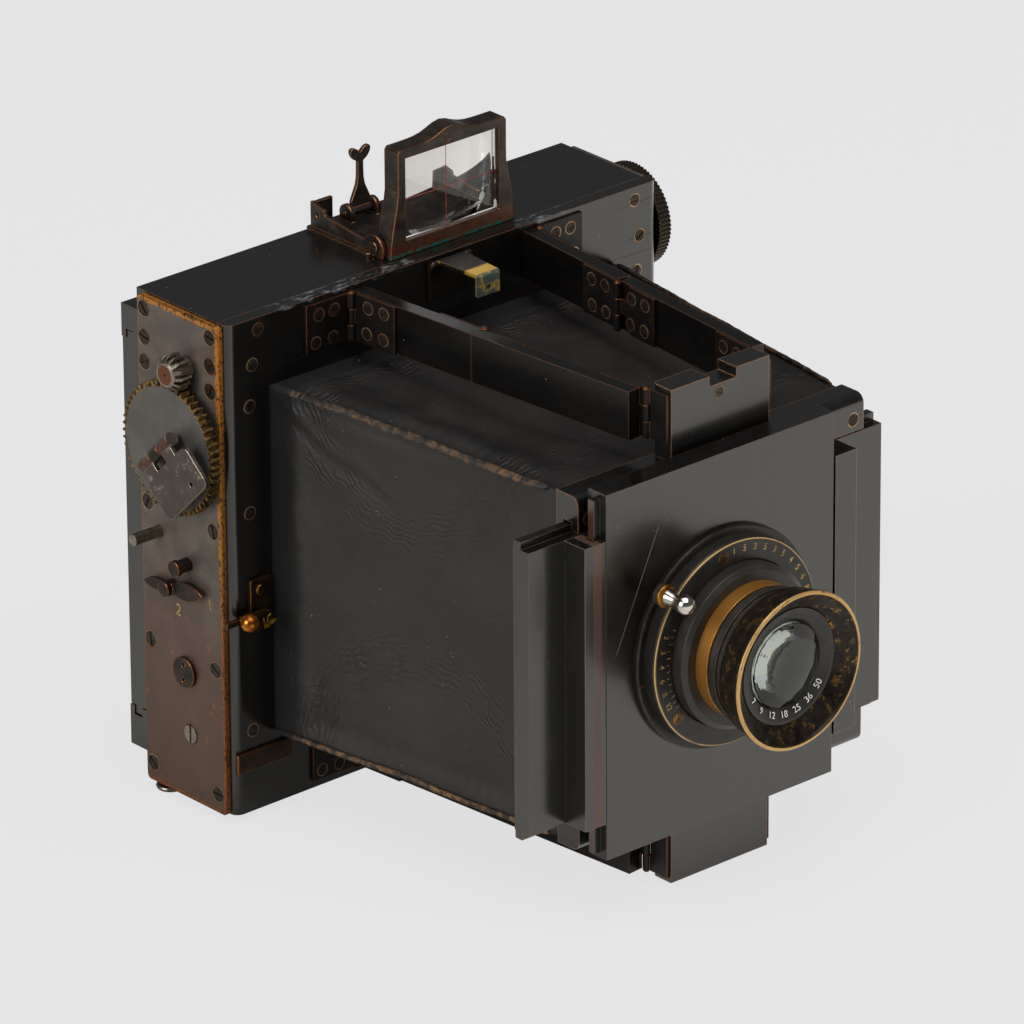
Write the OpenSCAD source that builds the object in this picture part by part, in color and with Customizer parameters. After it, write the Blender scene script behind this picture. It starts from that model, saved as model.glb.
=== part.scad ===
// Strut folding hand camera for plates of 9 by 12 cm, standing open.
// X runs across the camera, the lens looks along -Y and Z is up.
// The origin is the mouth of the tripod bush, in the middle of the underside of the case.
// Unless a comment says otherwise, a depth is counted from the front face of the case,
// backwards, so pieces in front of the case have negative depths.

/* [Case] */
// Width of the wooden case without its end plates
case_w = 174.5; // [168:0.5:182]
// Depth of the wooden case
case_d = 43.2; // [42:0.2:50]
// Height of the case
case_h = 165; // [164:0.5:170]
// Thickness of the case walls
wall = 7; // [5:0.5:8]
// Thickness of the front board
front_t = 5; // [4:0.5:6]
// Radius of the two upright front edges
front_edge_r = 3; // [1:0.5:4]
// Rim of the front board that the foot of the bellows lies on
mouth_rim = 5; // [4:0.5:8]
// Width of the picture opening in the gate board
gate_w = 118; // [100:1:124]
// Height of the picture opening in the gate board
gate_h = 88; // [80:1:96]
// Thickness of the gate board
gate_t = 6; // [4:0.5:7]

/* [End plates] */
// Thickness of the metal end plates
plate_t = 2; // [1.5:0.1:2.5]
// Distance of the end plates from the front face
plate_in = 2.3; // [2:0.1:4]
// Depth of the end plates
plate_d = 38.3; // [36:0.1:39]
// Corner radius of the end plates
plate_r = 1.5; // [0.5:0.5:3]
// Head radius of the case screws
screw_r = 2.6; // [2:0.1:3]

/* [Back] */
// Depth of the grooved rails behind the case
rail_d = 7.8; // [7:0.2:10]
// Height of the upper rail
rail_top_h = 11; // [10:0.5:13]
// Height of the lower rail
rail_low_h = 13.5; // [10:0.5:14]
// Height of the plate holder between the rails
holder_h = 124.6; // [122:0.2:126]
// Depth of the groove in each rail
groove = 3; // [2:0.5:4]
// Thickness of the dark slide
slide_t = 1; // [0.8:0.1:1.4]

/* [Shutter and winding gear] */
// Module of the winding gears
gear_m = 0.75; // [0.7:0.01:0.8]
// Teeth of the winding gear
gear_n = 56; // [50:1:60]
// Teeth of the pinion
pinion_n = 14; // [12:1:18]
// Thickness of the winding gear
gear_t = 3.3; // [2:0.1:4]
// Gap between the end plate and the winding gear
gear_gap = 3; // [1:0.1:4]
// Length of the pinion outside the end plate
pinion_l = 8.7; // [7.5:0.1:8.8]
// Radius of the upper roller
roller_r = 7.2; // [6:0.1:7.5]
// Radius of the lower spring roller
low_roller_r = 5.5; // [4:0.1:6]
// Radius of the roller journals
journal_r = 3; // [2.5:0.1:3.4]
// Radius of the milled tension knob
knob_r = 17; // [14:0.5:18]
// Length of the milled tension knob
knob_l = 4.6; // [3:0.2:6]
// Length of the key flap along its hinge
key_w = 26; // [22:0.5:27]
// Reach of the key flap from its hinge
key_l = 19.3; // [15:0.1:19.5]
// Radius of the release plunger
plunger_r = 1.9; // [1.5:0.1:2.5]
// Length of the release plunger outside the end plate
plunger_l = 10.7; // [8:0.1:12]

/* [Struts] */
// Distance of the upper bars below the top of the case
bar_in = 1.7; // [1:0.1:3]
// Distance of the rear hinge pins from the middle
rear_pin_x = 38.6; // [36:0.1:40]
// Distance of the front hinge pins from the middle
front_pin_x = 21.4; // [21.4:0.1:24]
// Distance from the front face to the front hinge pins
front_pin_y = 116.6; // [110:0.2:118]
// Thickness of the bars
bar_t = 4.8; // [4:0.1:5.5]
// Height of the bars
bar_h = 15.9; // [14:0.1:16.4]
// Distance of each hinge pin from the faces its leaves lie on
pin_off = 1.2; // [1.2:0.1:1.6]
// Thickness of the hinge leaves
leaf_t = 1; // [0.8:0.05:1]
// Width of the hinge leaves on the bars
leaf_w = 18; // [14:0.5:19]
// Radius of the hinge pins
pin_r = 0.55; // [0.4:0.05:0.6]

/* [Front standard] */
// Width of the frame
frame_w = 116.8; // [114:0.2:122]
// Gap between the bars and the frame, seen from the lens side
frame_gap = 5.95; // [5:0.05:8]
// Height of the upper and the lower member of the frame
member_h = 11.8; // [10:0.1:13]
// Thickness of the frame
frame_t = 9.8; // [9:0.1:11]
// Distance from the front face of the case to the back of the frame
frame_y = 117.4; // [116:0.1:119]
// How far the two hinge blocks stand up beyond the bars
block_over = 1.75; // [1:0.05:2.5]
// Width of the two hinge blocks
block_w = 40; // [36:0.2:40.4]
// Thickness of the hinge blocks
block_t = 8.3; // [7:0.1:8.6]
// Width of the sliding panel
panel_w = 144.2; // [138:0.2:150]
// Thickness of the sliding panel
panel_t = 6.8; // [6:0.1:7]
// How far the sliding panel stands off centre in the photo
panel_shift = -6.4; // [-9:0.1:9]
// Width of the lens board
board_w = 92.8; // [88:0.2:94]
// Height of the lens board
board_h = 120.6; // [114:0.2:122]
// Thickness of the lens board
board_t = 8; // [7:0.1:8.6]

/* [Lens] */
// Radius of the flange on the lens board
flange_r = 35.8; // [34:0.1:38]
// Radius of the scale plate
scale_r = 33.4; // [31:0.1:34.5]
// Radius of the focusing ring
focus_r = 26.3; // [24:0.1:27]
// Radius of the brass barrel
barrel_r = 21.6; // [20.5:0.1:22.5]
// Outer radius of the front rim of the hood
hood_r = 25.4; // [24:0.1:27]
// Distance from the lens board to the front rim of the hood
hood_y = 35; // [33:0.5:40]
// Radius of the glass in the front cell
glass_r = 13.4; // [11:0.1:14]

/* [Finder] */
// Width of the finder frame at its foot
finder_w = 50.6; // [46:0.2:54]
// Width of the finder frame at its top
finder_top_w = 44.2; // [42:0.2:46]
// Height of the finder frame
finder_h = 37; // [34:0.5:40]
// Depth of the finder frame
finder_d = 6.5; // [5:0.1:7]
// Height of the forked sight
sight_h = 22.4; // [18:0.2:24]

/* [Bellows] */
// How far the bellows stands in from each side of the case
bellows_side = 16.25; // [14:0.25:19]
// Width of the bellows at the standard
bellows_front_w = 114; // [108:0.5:116]
// Gap between the bars and the bellows
bellows_gap = 6.4; // [5:0.1:10]
// Thickness of the leather
leather_t = 1.6; // [1:0.1:2]

/* [Fits] */
// Gap between pieces that slide on each other
slide_gap = 0.3; // [0.2:0.05:0.4]
// Gap round a shaft in its bore
shaft_gap = 0.05; // [0.02:0.01:0.09]

/* [Hidden] */
$fn = 64;

black_wood = "#26231f";
dark_metal = "#4c4138";
worn_brass = "#b5813d";
nickel = "#b9b4a8";
black_metal = "#2d2926";
leather = "#332f2c";
clear_glass = "#c9ced0";
eps = 0.01;

// Case levels
half_w = case_w / 2;
face_x = half_w + plate_t;
mid_z = case_h / 2 + 0.5;
case_back = case_d;
plate_h = case_h - 0.5;

// Shutter levels
roller_y = 17;
roller_z = case_h - 18;
low_roller_y = 19;
low_roller_z = 22.5;
blind_y = roller_y + roller_r + 0.2;
blind_t = 0.4;
gear_r = gear_m * gear_n / 2;
pinion_r = gear_m * pinion_n / 2;
gear_lean = 2.6;
gear_y = roller_y + gear_lean;
gear_z = roller_z - sqrt(pow(gear_r + pinion_r, 2) - gear_lean * gear_lean);
mesh_angle = atan2(roller_z - gear_z, roller_y - gear_y);
arbor_r = 2.5;
gear_x = -face_x - gear_gap;
key_x = gear_x - gear_t - 3.9;
key_tilt = 3;
key_barrel_r = 2.3;
key_barrel_l = 18.8;
key_pin_r = 0.7;
knuckle = 2.6;
plunger_y = 32.4;
plunger_z = gear_z - gear_r - 12.7;
selector_y = 25.5;
selector_z = plunger_z - 16.2;
stop_y = 18.6;
stop_z = selector_z + 9.6;
nut_y = 20.5;
nut_z = 43.4;

// Strut levels and the angles that let the bars lie flat when the standard is pushed home
rear_pin_y = -pin_off;
lap = bar_t + 2 * pin_off;
pin_dx = rear_pin_x - front_pin_x;
pin_dy = front_pin_y + rear_pin_y;
strut_l = sqrt(pin_dx * pin_dx + pin_dy * pin_dy - lap * lap);
lean = atan2(pin_dx, pin_dy) - atan2(lap, strut_l);
rear_l = (strut_l - pin_dx) / 2;
front_l = (strut_l + pin_dx) / 2;
knee_x = rear_pin_x - rear_l * sin(lean) - lap * cos(lean);
knee_y = rear_pin_y - rear_l * cos(lean) + lap * sin(lean);
bar_z = case_h - bar_in - bar_h;
bar_end = pin_off + 0.4;
knuckle_r = pin_off;
knuckle_gap = 0.2;
knee_cut = 5.8;
butt = 0.1;
bar_foot = 0.35;

knob_foot = 0.7;

// Standard levels
frame_top = bar_z - frame_gap;
frame_h = 2 * (frame_top - mid_z);
frame_z = frame_top - frame_h;
frame_open_w = 100;
frame_front = -frame_y - frame_t;
frame_back_t = 3;
panel_y = frame_front - 0.2;
panel_back = panel_y + panel_t;
panel_h = frame_h - 2 * member_h;
panel_z = mid_z - panel_h / 2;
block_h = frame_gap + bar_h + block_over;
tongue = 2.5;
tongue_t = 3;
rail_in = 8.2;
board_back = panel_y - 0.8;
board_front = board_back - board_t;
board_x = panel_shift - 2.5;
board_z = mid_z + 1.2 - board_h / 2;
rail_front = board_front - 0.3;
block_y = -front_pin_y - 1.3;
notch_x = 1;
notch_w = 11;
notch_h = 3.3;

// Lens levels, along -Y from the lens board
lens_x = board_x;
lens_z = mid_z + 1.5;
flange_t = 2;
scale_t = 5;
focus_t = 10;
barrel_front = 17.3;
iris_l = 6;
ring_in = 5;
hub_r = 30;
ring_r = 18.6;
cell_r = 17.2;
hood_back_r = hood_r - 1.6;
scale_screw_at = (focus_r + scale_r - 0.5) / 2;
barrel_bore = 15.6;

// Finder levels, counted from the middle of the finder and the top of the case
base_front = 12.4;
base_back = 42.9;
finder_x = 8.7;
finder_y = 5.5;
finder_foot = 0.25;
finder_base_t = 1.3;
finder_pivot_y = 11.6;
finder_pivot_z = case_h + 3.4;
cheek_t = 1.2;
cheek_x = finder_w / 2 + 0.4;
ear_r = 4.8;
sight_x = -10;
sight_y = 38;
sight_z = case_h + 3.6;

// Catch levels
catch_x = notch_x + 0.2;
catch_z = case_h - 1.9;
catch_y = -1.9;
catch_w = 9;
lip_h = 7.4;
folded_shift = pin_dy - lap;
catch_reach = front_pin_y + 1.3 + block_t - folded_shift + 0.5;

// Bellows levels
bellows_w = case_w - 2 * bellows_side;
bellows_h = 2 * (bar_z - bellows_gap - mid_z);
mouth_w = bellows_w - 2 * mouth_rim;
mouth_h = bellows_h - 2 * mouth_rim;

// Puts the drawing frame on the front face of the case
module from_front() { translate([0, -case_d / 2, 0]) children(); }

// Turns a drawing in Y and Z so that it is pulled out along X
module along_x(x, y, z) { translate([x, y, z]) rotate([0, 90, 0]) rotate([0, 0, 90]) children(); }

// Turns a drawing in X and Z so that it is pulled out towards the lens side
module along_lens(x, y, z) { translate([x, y, z]) rotate([90, 0, 0]) children(); }

// Square with round corners, drawn from its centre
module round_square(w, h, r) {
    square([w - 2 * r, h], center = true);
    square([w, h - 2 * r], center = true);
    for (x = [-1, 1], y = [-1, 1]) translate([x * (w / 2 - r), y * (h / 2 - r)]) circle(r = r);
}

// A box given by two opposite corners
module box(a, b) { translate(a) cube(b - a); }

// Countersunk screw head with a slot and a plain shank, pointing along +Z
slot_step = 37;
module wood_screw(r, shank, slot = 0) {
    difference() {
        cylinder(r = r, h = 0.9);
        rotate(slot) translate([-r - 1, -0.3, 0.5]) cube([2 * r + 2, 0.6, 1]);
    }
    translate([0, 0, -shank]) cylinder(r = r * 0.42, h = shank + eps);
}

// Involute tooth flanks: angle at a radius, for a gear with n teeth
function inv_angle(n, r) = let (rb = gear_m * n / 2 * cos(20), t = sqrt(max(0, r * r / (rb * rb) - 1)))
    t * 180 / PI - atan(t);
function tooth_half(n) = (90 - 360 * 0.07 / (PI * gear_m)) / n;
function flank(n, r, s) = let (rp = gear_m * n / 2,
    a = tooth_half(n) + inv_angle(n, rp) - inv_angle(n, r)) [r * cos(s * a), r * sin(s * a)];
module gear_2d(n) {
    rp = gear_m * n / 2;
    root = rp - 1.3 * gear_m;
    tip = rp + 0.95 * gear_m;
    base = max(root, rp * cos(20) + eps);
    steps = [for (i = [0:4]) base + (tip - base) * i / 4];
    tooth = concat([root < base ? flank(n, base, -1) * (root - 0.1) / base : flank(n, root, -1)],
        [for (r = steps) flank(n, r, -1)], [for (i = [4:-1:0]) flank(n, steps[i], 1)],
        [flank(n, base, 1) * (root - 0.1) / base]);
    circle(r = root);
    for (i = [0:n - 1]) rotate(360 * i / n) polygon(tooth);
}

// One hinge leaf: the pin stands at the origin along Z and the plate runs along +X, on the +Y side.
// A leaf has either its two outer knuckles or the middle one, and its plate may be cut back beside them.
module leaf(w, h, outer, t = leaf_t, cut = 0) {
    third = (h - 2 * knuckle_gap) / 3;
    bands = outer ? [0, 2 * (third + knuckle_gap)] : [third + knuckle_gap];
    difference() {
        union() {
            difference() {
                box([bar_end, knuckle_r - leaf_t, 0], [w, knuckle_r - leaf_t + t, h]);
                if (cut > 0) for (z = [[-1, third + knuckle_gap / 2], [2 * third + 1.5 * knuckle_gap, h + 1]])
                    box([0, -1, z[0]], [cut, 3, z[1]]);
            }
            for (z = bands) translate([0, 0, z]) {
                cylinder(r = knuckle_r, h = third, $fn = 32);
                box([0, knuckle_r - leaf_t, 0], [bar_end + eps, knuckle_r, third]);
            }
        }
        translate([0, 0, -1]) cylinder(r = pin_r + shaft_gap, h = h + 2, $fn = 32);
    }
}
module hinge_pin(h) {
    translate([0, 0, -0.5]) cylinder(r = knuckle_r * 0.75, h = 0.5, $fn = 32);
    cylinder(r = pin_r, h = h, $fn = 32);
    translate([0, 0, h]) cylinder(r = knuckle_r * 0.75, h = 0.5, $fn = 32);
}
// The open knee keeps only the pin ends that sit in the outer knuckles
module pin_stubs(h) {
    third = (h - 2 * knuckle_gap) / 3;
    translate([0, 0, -0.5]) cylinder(r = knuckle_r * 0.75, h = 0.5, $fn = 32);
    cylinder(r = pin_r, h = third, $fn = 32);
    translate([0, 0, h - third]) cylinder(r = pin_r, h = third, $fn = 32);
    translate([0, 0, h]) cylinder(r = knuckle_r * 0.75, h = 0.5, $fn = 32);
}

// Each side draws its upper and lower copy; the left side is the mirror of the right
module both_heights() {
    translate([0, 0, bar_z]) children();
    translate([0, 0, 2 * mid_z - bar_z - bar_h]) children();
}
module on_side(s) { mirror([s < 0 ? 1 : 0, 0, 0]) children(); }

module case_frame() color(black_wood) from_front() {
    difference() {
        box([-half_w, front_t, 0], [half_w, case_back, case_h]);
        box([-half_w + wall, front_t - 1, wall], [half_w - wall, case_back + 1, case_h - wall]);
        along_x(-half_w - 1, roller_y, roller_z) cylinder(r = journal_r + shaft_gap, h = case_w + 2);
        along_x(-half_w - 1, low_roller_y, low_roller_z)
            cylinder(r = journal_r + shaft_gap, h = case_w + 2);
        along_x(-half_w - 1, gear_y, gear_z) cylinder(r = arbor_r + shaft_gap, h = wall + 2);
        along_x(-half_w - 1, plunger_y, plunger_z) cylinder(r = plunger_r + shaft_gap, h = wall + 2);
        along_x(-half_w - 1, selector_y, selector_z) cylinder(r = 1.5 + shaft_gap, h = wall + 2);
        translate([0, case_d / 2, -1]) cylinder(r = 6.5, h = wall + 2);
    }
}

// The front board ends flush with the wood on the left and covers the end plate on the right
module front_board() color(black_wood) from_front() {
    difference() {
        linear_extrude(case_h) difference() {
            union() {
                translate([-half_w + front_edge_r, 0])
                    square([half_w + face_x - 2 * front_edge_r, front_t]);
                translate([-half_w, front_edge_r]) square([half_w + face_x, front_t - front_edge_r]);
                for (x = [-half_w + front_edge_r, face_x - front_edge_r]) translate([x, front_edge_r])
                    circle(r = front_edge_r);
            }
            translate([-half_w - 1, front_t]) square([case_w + 10, 10]);
        }
        box([-mouth_w / 2, -1, mid_z - mouth_h / 2], [mouth_w / 2, front_t + 1, mid_z + mouth_h / 2]);
    }
}

module gate_board() color(black_wood) from_front() {
    w = case_w - 2 * wall;
    h = case_h - 2 * wall;
    difference() {
        union() {
            box([-w / 2, case_back - gate_t, wall], [w / 2, case_back, wall + h]);
            box([-gate_w / 2 - 6, blind_y + 1.4, mid_z - gate_h / 2 - 6],
                [gate_w / 2 + 6, case_back - gate_t + eps, mid_z + gate_h / 2 + 6]);
        }
        box([-gate_w / 2, 0, mid_z - gate_h / 2], [gate_w / 2, case_back + 1, mid_z + gate_h / 2]);
    }
}

// End plate drawn in Y and Z from its front edge, with a countersink for each screw and its bores
module end_plate(front, bores) {
    back = plate_in + plate_d;
    difference() {
        linear_extrude(plate_t) difference() {
            translate([(front + back) / 2, plate_h / 2]) round_square(back - front, plate_h, plate_r);
            for (b = bores) translate([b[0], b[1]]) circle(r = b[2]);
        }
        for (p = plate_screw_places(front)) translate([p[0], p[1], plate_t - 0.9]) {
            cylinder(r = screw_r + 0.05, h = 2);
            translate([0, 0, -3]) cylinder(r = screw_r * 0.42, h = 4);
        }
    }
}
function plate_screw_places(front) = [for (y = [front + 4, plate_in + plate_d - 3],
    z = [6.2, 48.7, mid_z + 12.5, case_h - 22.6, case_h - 14.3, case_h - 4.8]) [y, z]];
right_plate_in = front_t + 0.05;

module left_plate() color(dark_metal) from_front() mirror([1, 0, 0]) along_x(half_w, 0, 0)
    end_plate(plate_in, [[roller_y, roller_z, journal_r + shaft_gap],
        [low_roller_y, low_roller_z, journal_r + shaft_gap],
        [gear_y, gear_z, arbor_r + shaft_gap], [plunger_y, plunger_z, plunger_r + shaft_gap],
        [selector_y, selector_z, 1.5 + shaft_gap]]);
module right_plate() color(dark_metal) from_front() along_x(half_w, 0, 0)
    end_plate(right_plate_in, [[roller_y, roller_z, journal_r + shaft_gap],
        [low_roller_y, low_roller_z, journal_r + shaft_gap]]);

module plate_screws() color(black_metal) from_front()
    for (s = [-1, 1]) on_side(s) along_x(face_x - 0.9, 0, 0) {
        places = plate_screw_places(s < 0 ? plate_in : right_plate_in);
        for (i = [0:len(places) - 1]) translate([places[i][0], places[i][1], 0])
            wood_screw(screw_r, plate_t - 0.9 + 4, slot_step * i);
    }

// Distance from the side of the case, and height, of the screws on the left and on the right
front_left = [[12, case_h - 4], [9.5, case_h - 15], [8.2, case_h - 28.5], [7.6, mid_z + 18], [7.2, 27.6]];
front_right = [[7.9, case_h - 4.3], [5.8, case_h - 16.8], [7.2, case_h - 28.5], [7.2, mid_z + 18], [7.2, 27.6]];
module front_screws() color(black_metal) from_front()
    for (s = [-1, 1], i = [0:len(front_left) - 1]) {
        place = s < 0 ? front_left[i] : front_right[i];
        along_lens(s * (half_w - place[0]), 0.6, place[1]) wood_screw(1.9, front_t - 1, slot_step * i);
    }

// Grooved rail behind the case; up says which way its groove opens
module back_rail(z, h, up) {
    lip_z = up > 0 ? z + h - groove : z;
    difference() {
        box([-half_w, case_back, z], [half_w, case_back + rail_d, z + h]);
        box([-half_w - 1, case_back + 2, lip_z - (up > 0 ? 0 : 1)],
            [half_w + 1, case_back + rail_d - 2, lip_z + groove + (up > 0 ? 1 : 0)]);
    }
}
holder_z = mid_z + 0.8 - holder_h / 2;
module back_rail_top() color(black_wood) from_front()
    back_rail(holder_z + holder_h + slide_gap, rail_top_h, -1);
module back_rail_bottom() color(black_wood) from_front()
    back_rail(holder_z - slide_gap - rail_low_h, rail_low_h, 1);

tripod_r = 4;
module tripod_bush() color(worn_brass) difference() {
    union() {
        cylinder(r = 6.5, h = wall);
        translate([0, 0, wall]) cylinder(r = 9, h = 1.5);
    }
    translate([0, 0, -1]) cylinder(r = tripod_r, h = wall + 4);
}

stud_h = 3.4;
stud_y = case_d - 7.9;
module strap_studs() color(nickel) from_front()
    for (s = [-1, 1]) translate([s * (half_w - 2.8), stud_y, -stud_h]) rotate_extrude()
        polygon([[0, 0], [3.4, 0], [4.4, 0.5], [4.7, 1.2], [4.4, 1.8], [2.8, 2.3], [2.8, stud_h], [0, stud_h]]);

holder_in = 2 + slide_gap;
module plate_holder() color(black_wood) from_front() {
    y0 = case_back + slide_gap;
    y1 = case_back + rail_d;
    difference() {
        union() {
            box([-half_w + 0.4, y0, holder_z], [half_w + 6, y1, holder_z + holder_h]);
            box([-half_w + 0.4, case_back + holder_in, holder_z - groove + slide_gap],
                [half_w - 0.4, y1 - holder_in, holder_z + holder_h + groove - slide_gap]);
        }
        box([-gate_w / 2 - 1, y0 - 1, mid_z - gate_h / 2 - 1],
            [gate_w / 2 + 1, y1 - 2, mid_z + gate_h / 2 + 1]);
        box([-gate_w / 2 - 4, y0 + 1, mid_z - gate_h / 2 - 4],
            [half_w + 7, y0 + 1 + slide_t + 0.4, mid_z + gate_h / 2 + 4]);
    }
}
module dark_slide() color(black_metal) from_front() {
    y0 = case_back + slide_gap + 1.2;
    box([-gate_w / 2 - 3.6, y0, mid_z - gate_h / 2 - 3.6],
        [half_w + 7.5, y0 + slide_t, mid_z + gate_h / 2 + 3.6]);
    box([half_w + 6.4, y0 - 1.4, mid_z - 14], [half_w + 9.4, y0 + slide_t + 1.4, mid_z + 14]);
}

module upper_roller() color(nickel) from_front() {
    inner = case_w - 2 * wall - 1;
    along_x(-inner / 2, roller_y, roller_z) cylinder(r = roller_r, h = inner);
    along_x(-face_x - 0.8, roller_y, roller_z) cylinder(r = journal_r, h = 2 * face_x + 1.6);
}
module pinion() color(nickel) from_front() along_x(-face_x - 0.4 - pinion_l, roller_y, roller_z)
    difference() {
        union() {
            rotate(mesh_angle + 180 + 180 / pinion_n) linear_extrude(pinion_l - 2.4) gear_2d(pinion_n);
            cylinder(r = pinion_r - 2 * gear_m, h = pinion_l);
        }
        translate([0, 0, -eps]) difference() {
            cylinder(r = 2 * pinion_r, h = 2.6);
            cylinder(r1 = pinion_r - 1.4, r2 = pinion_r + 1.1, h = 2.6);
        }
        translate([0, 0, pinion_l - 0.4]) cylinder(r = journal_r, h = 1);
    }
module tension_knob() color(nickel) from_front() along_x(face_x + 0.5, roller_y, roller_z) {
    difference() {
        union() {
            cylinder(r = knob_r * 0.55, h = 1);
            translate([0, 0, knob_foot]) linear_extrude(knob_l) difference() {
                circle(r = knob_r);
                for (i = [0:71]) rotate(5 * i) translate([knob_r, 0]) rotate(45)
                    square(0.7, center = true);
            }
            translate([0, 0, knob_l + knob_foot]) cylinder(r1 = knob_r - 1, r2 = knob_r - 3, h = 1);
        }
        translate([0, 0, -1]) cylinder(r = journal_r, h = 1.3);
        translate([0, 0, knob_l + knob_foot + 0.4]) cylinder(r = knob_r - 6, h = 2);
    }
}
module lower_roller() color(nickel) from_front() {
    inner = case_w - 2 * wall - 1;
    along_x(-inner / 2, low_roller_y, low_roller_z) cylinder(r = low_roller_r, h = inner);
    difference() {
        along_x(-face_x - 0.3, low_roller_y, low_roller_z) cylinder(r = journal_r, h = 2 * face_x);
        box([-face_x - 1, low_roller_y - 0.4, low_roller_z - 4],
            [-face_x + 0.5, low_roller_y + 0.4, low_roller_z + 4]);
    }
}
module shutter_blind() color(leather) from_front()
    box([-gate_w / 2 - 9, blind_y, low_roller_z + 2], [gate_w / 2 + 9, blind_y + blind_t, roller_z - 2]);

module winding_gear() color(dark_metal) from_front() along_x(gear_x - gear_t, gear_y, gear_z)
    difference() {
        union() {
            rotate(mesh_angle) linear_extrude(gear_t) gear_2d(gear_n);
            translate([0, 0, gear_t - eps]) cylinder(r = 7, h = gear_gap - 0.3);
        }
        translate([0, 0, -1]) cylinder(r = arbor_r, h = gear_t + gear_gap + 2);
    }
module winding_arbor() color(dark_metal) from_front() difference() {
    union() {
        along_x(key_x, gear_y, gear_z) cylinder(r = arbor_r, h = -key_x - half_w + wall + 2);
        along_x(-half_w + wall + 0.3, gear_y, gear_z) cylinder(r = arbor_r + 1.5, h = 1.7);
        translate([key_x, gear_y, gear_z]) rotate([45, 0, 0]) translate([0, 0, -knuckle])
            cylinder(r = key_barrel_r, h = 2 * knuckle);
    }
    translate([key_x, gear_y, gear_z]) rotate([45, 0, 0]) translate([0, 0, -10])
        cylinder(r = key_pin_r + shaft_gap, h = 20, $fn = 32);
}
// Key flap: a plate with two long eyes on the barrel pin, lying back over the gear
key_eye = key_barrel_l / 2 - knuckle - 0.2;
key_near = key_barrel_r + 2.6;
key_tab = key_eye - 1.2;
key_off = 2;
module key_flap_2d() difference() {
    union() {
        translate([(key_near + key_l) / 2, key_off]) round_square(key_l - key_near, key_w, 2.6);
        for (s = [-1, 1]) translate([0, s * (knuckle + 0.6 + key_tab / 2) - key_tab / 2])
            square([key_near + 1, key_tab]);
    }
    translate([key_l - 4, key_off + key_w / 2 - 7]) circle(r = 0.9, $fn = 32);
}
module winding_key() color(dark_metal) from_front() translate([key_x, gear_y, gear_z]) rotate([45, 0, 0]) {
    rotate(key_tilt - 90) translate([0, -0.2, 0]) rotate([90, 0, 0]) linear_extrude(1.4) key_flap_2d();
    for (z = [knuckle + 0.2, -knuckle - 0.2 - key_eye]) translate([0, 0, z])
        cylinder(r = key_barrel_r, h = key_eye);
    translate([0, 0, -knuckle - 1]) cylinder(r = key_pin_r, h = 2 * knuckle + 2, $fn = 32);
}

module selector_lever() color(worn_brass) from_front() {
    along_x(-face_x - 4.6, selector_y, selector_z) {
        cylinder(r = 2.5, h = 4.2);
        translate([0, 0, 1.9]) linear_extrude(1.1) difference() {
            union() {
                translate([-8, 1.2]) rotate(-8) wing_2d(17, 6);
                translate([6, -0.6]) rotate(-6) wing_2d(12, 4);
            }
            circle(r = 2.2);
        }
    }
    along_x(-face_x - 1, selector_y, selector_z) cylinder(r = 1.5, h = plate_t + wall + 2);
}
// Leaf shape made of two arcs, length l and width w
module wing_2d(l, w) {
    r = (l * l / 4 + w * w / 4) / w;
    intersection() {
        translate([0, r - w / 2]) circle(r = r);
        translate([0, -r + w / 2]) circle(r = r);
    }
}
module selector_stop() color(dark_metal) from_front() {
    along_x(-face_x - 5.6, stop_y, stop_z) cylinder(r = 2.2, h = 5.6);
    along_x(-face_x - 6, stop_y, stop_z) cylinder(r = 2.6, h = 1.6);
}
module release_plunger() color(nickel) from_front() {
    along_x(-face_x - plunger_l, plunger_y, plunger_z)
        cylinder(r = plunger_r, h = plunger_l + plate_t + wall + 1);
    along_x(-half_w + wall + 0.2, plunger_y, plunger_z) cylinder(r = plunger_r + 1.3, h = 1.2);
}
module spanner_nut() color(dark_metal) from_front() along_x(-face_x - 1.4, nut_y, nut_z) difference() {
    cylinder(r = 5, h = 1.4);
    for (s = [-1, 1]) translate([0, s * 2.6, -1]) cylinder(r = 0.8, h = 2, $fn = 24);
}

bracket_x = -half_w + 10.25;
lever_pin_x = -half_w + 12.25;
ball_x = -half_w + 1.85;
lever_pin_z = 65.5;
module release_bracket() color(worn_brass) from_front() {
    along_lens(0, 0, 0) linear_extrude(1.4) difference() {
        translate([bracket_x, lever_pin_z + 4.5]) round_square(8.2, 17.6, 0.8);
        translate([bracket_x - 5, lever_pin_z - 5]) rotate(38) square([4, 6], center = true);
    }
    along_lens(lever_pin_x, -1, lever_pin_z) cylinder(r = 1.1, h = 2.4);
    along_lens(lever_pin_x, -3.3, lever_pin_z) cylinder(r = 1.9, h = 0.9, $fn = 32);
    along_lens(bracket_x, -1, lever_pin_z + 9.5) cylinder(r = 1.7, h = 0.9, $fn = 32);
}
module release_lever() color(worn_brass) from_front() {
    difference() {
        union() {
            along_lens(lever_pin_x, -1.7, lever_pin_z) cylinder(r = 2.4, h = 1.3);
            box([ball_x - 0.6, -3, lever_pin_z + 0.5], [lever_pin_x - 1, -1.7, lever_pin_z + 3.2]);
            box([-face_x - 2.75, -3, lever_pin_z + 0.9], [ball_x, -1.7, lever_pin_z + 2.8]);
        }
        along_lens(lever_pin_x, 5, lever_pin_z) cylinder(r = 1.1 + shaft_gap, h = 15);
    }
    along_lens(ball_x, -2.8, lever_pin_z + 2.2) cylinder(r = 1.3, h = 3);
    translate([ball_x, -6, lever_pin_z + 2.2]) sphere(r = 2.9);
}
module stop_strip() color(worn_brass) from_front()
    box([-half_w, -1.3, 14.7], [-half_w + 21.5, 0, 21]);

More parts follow.
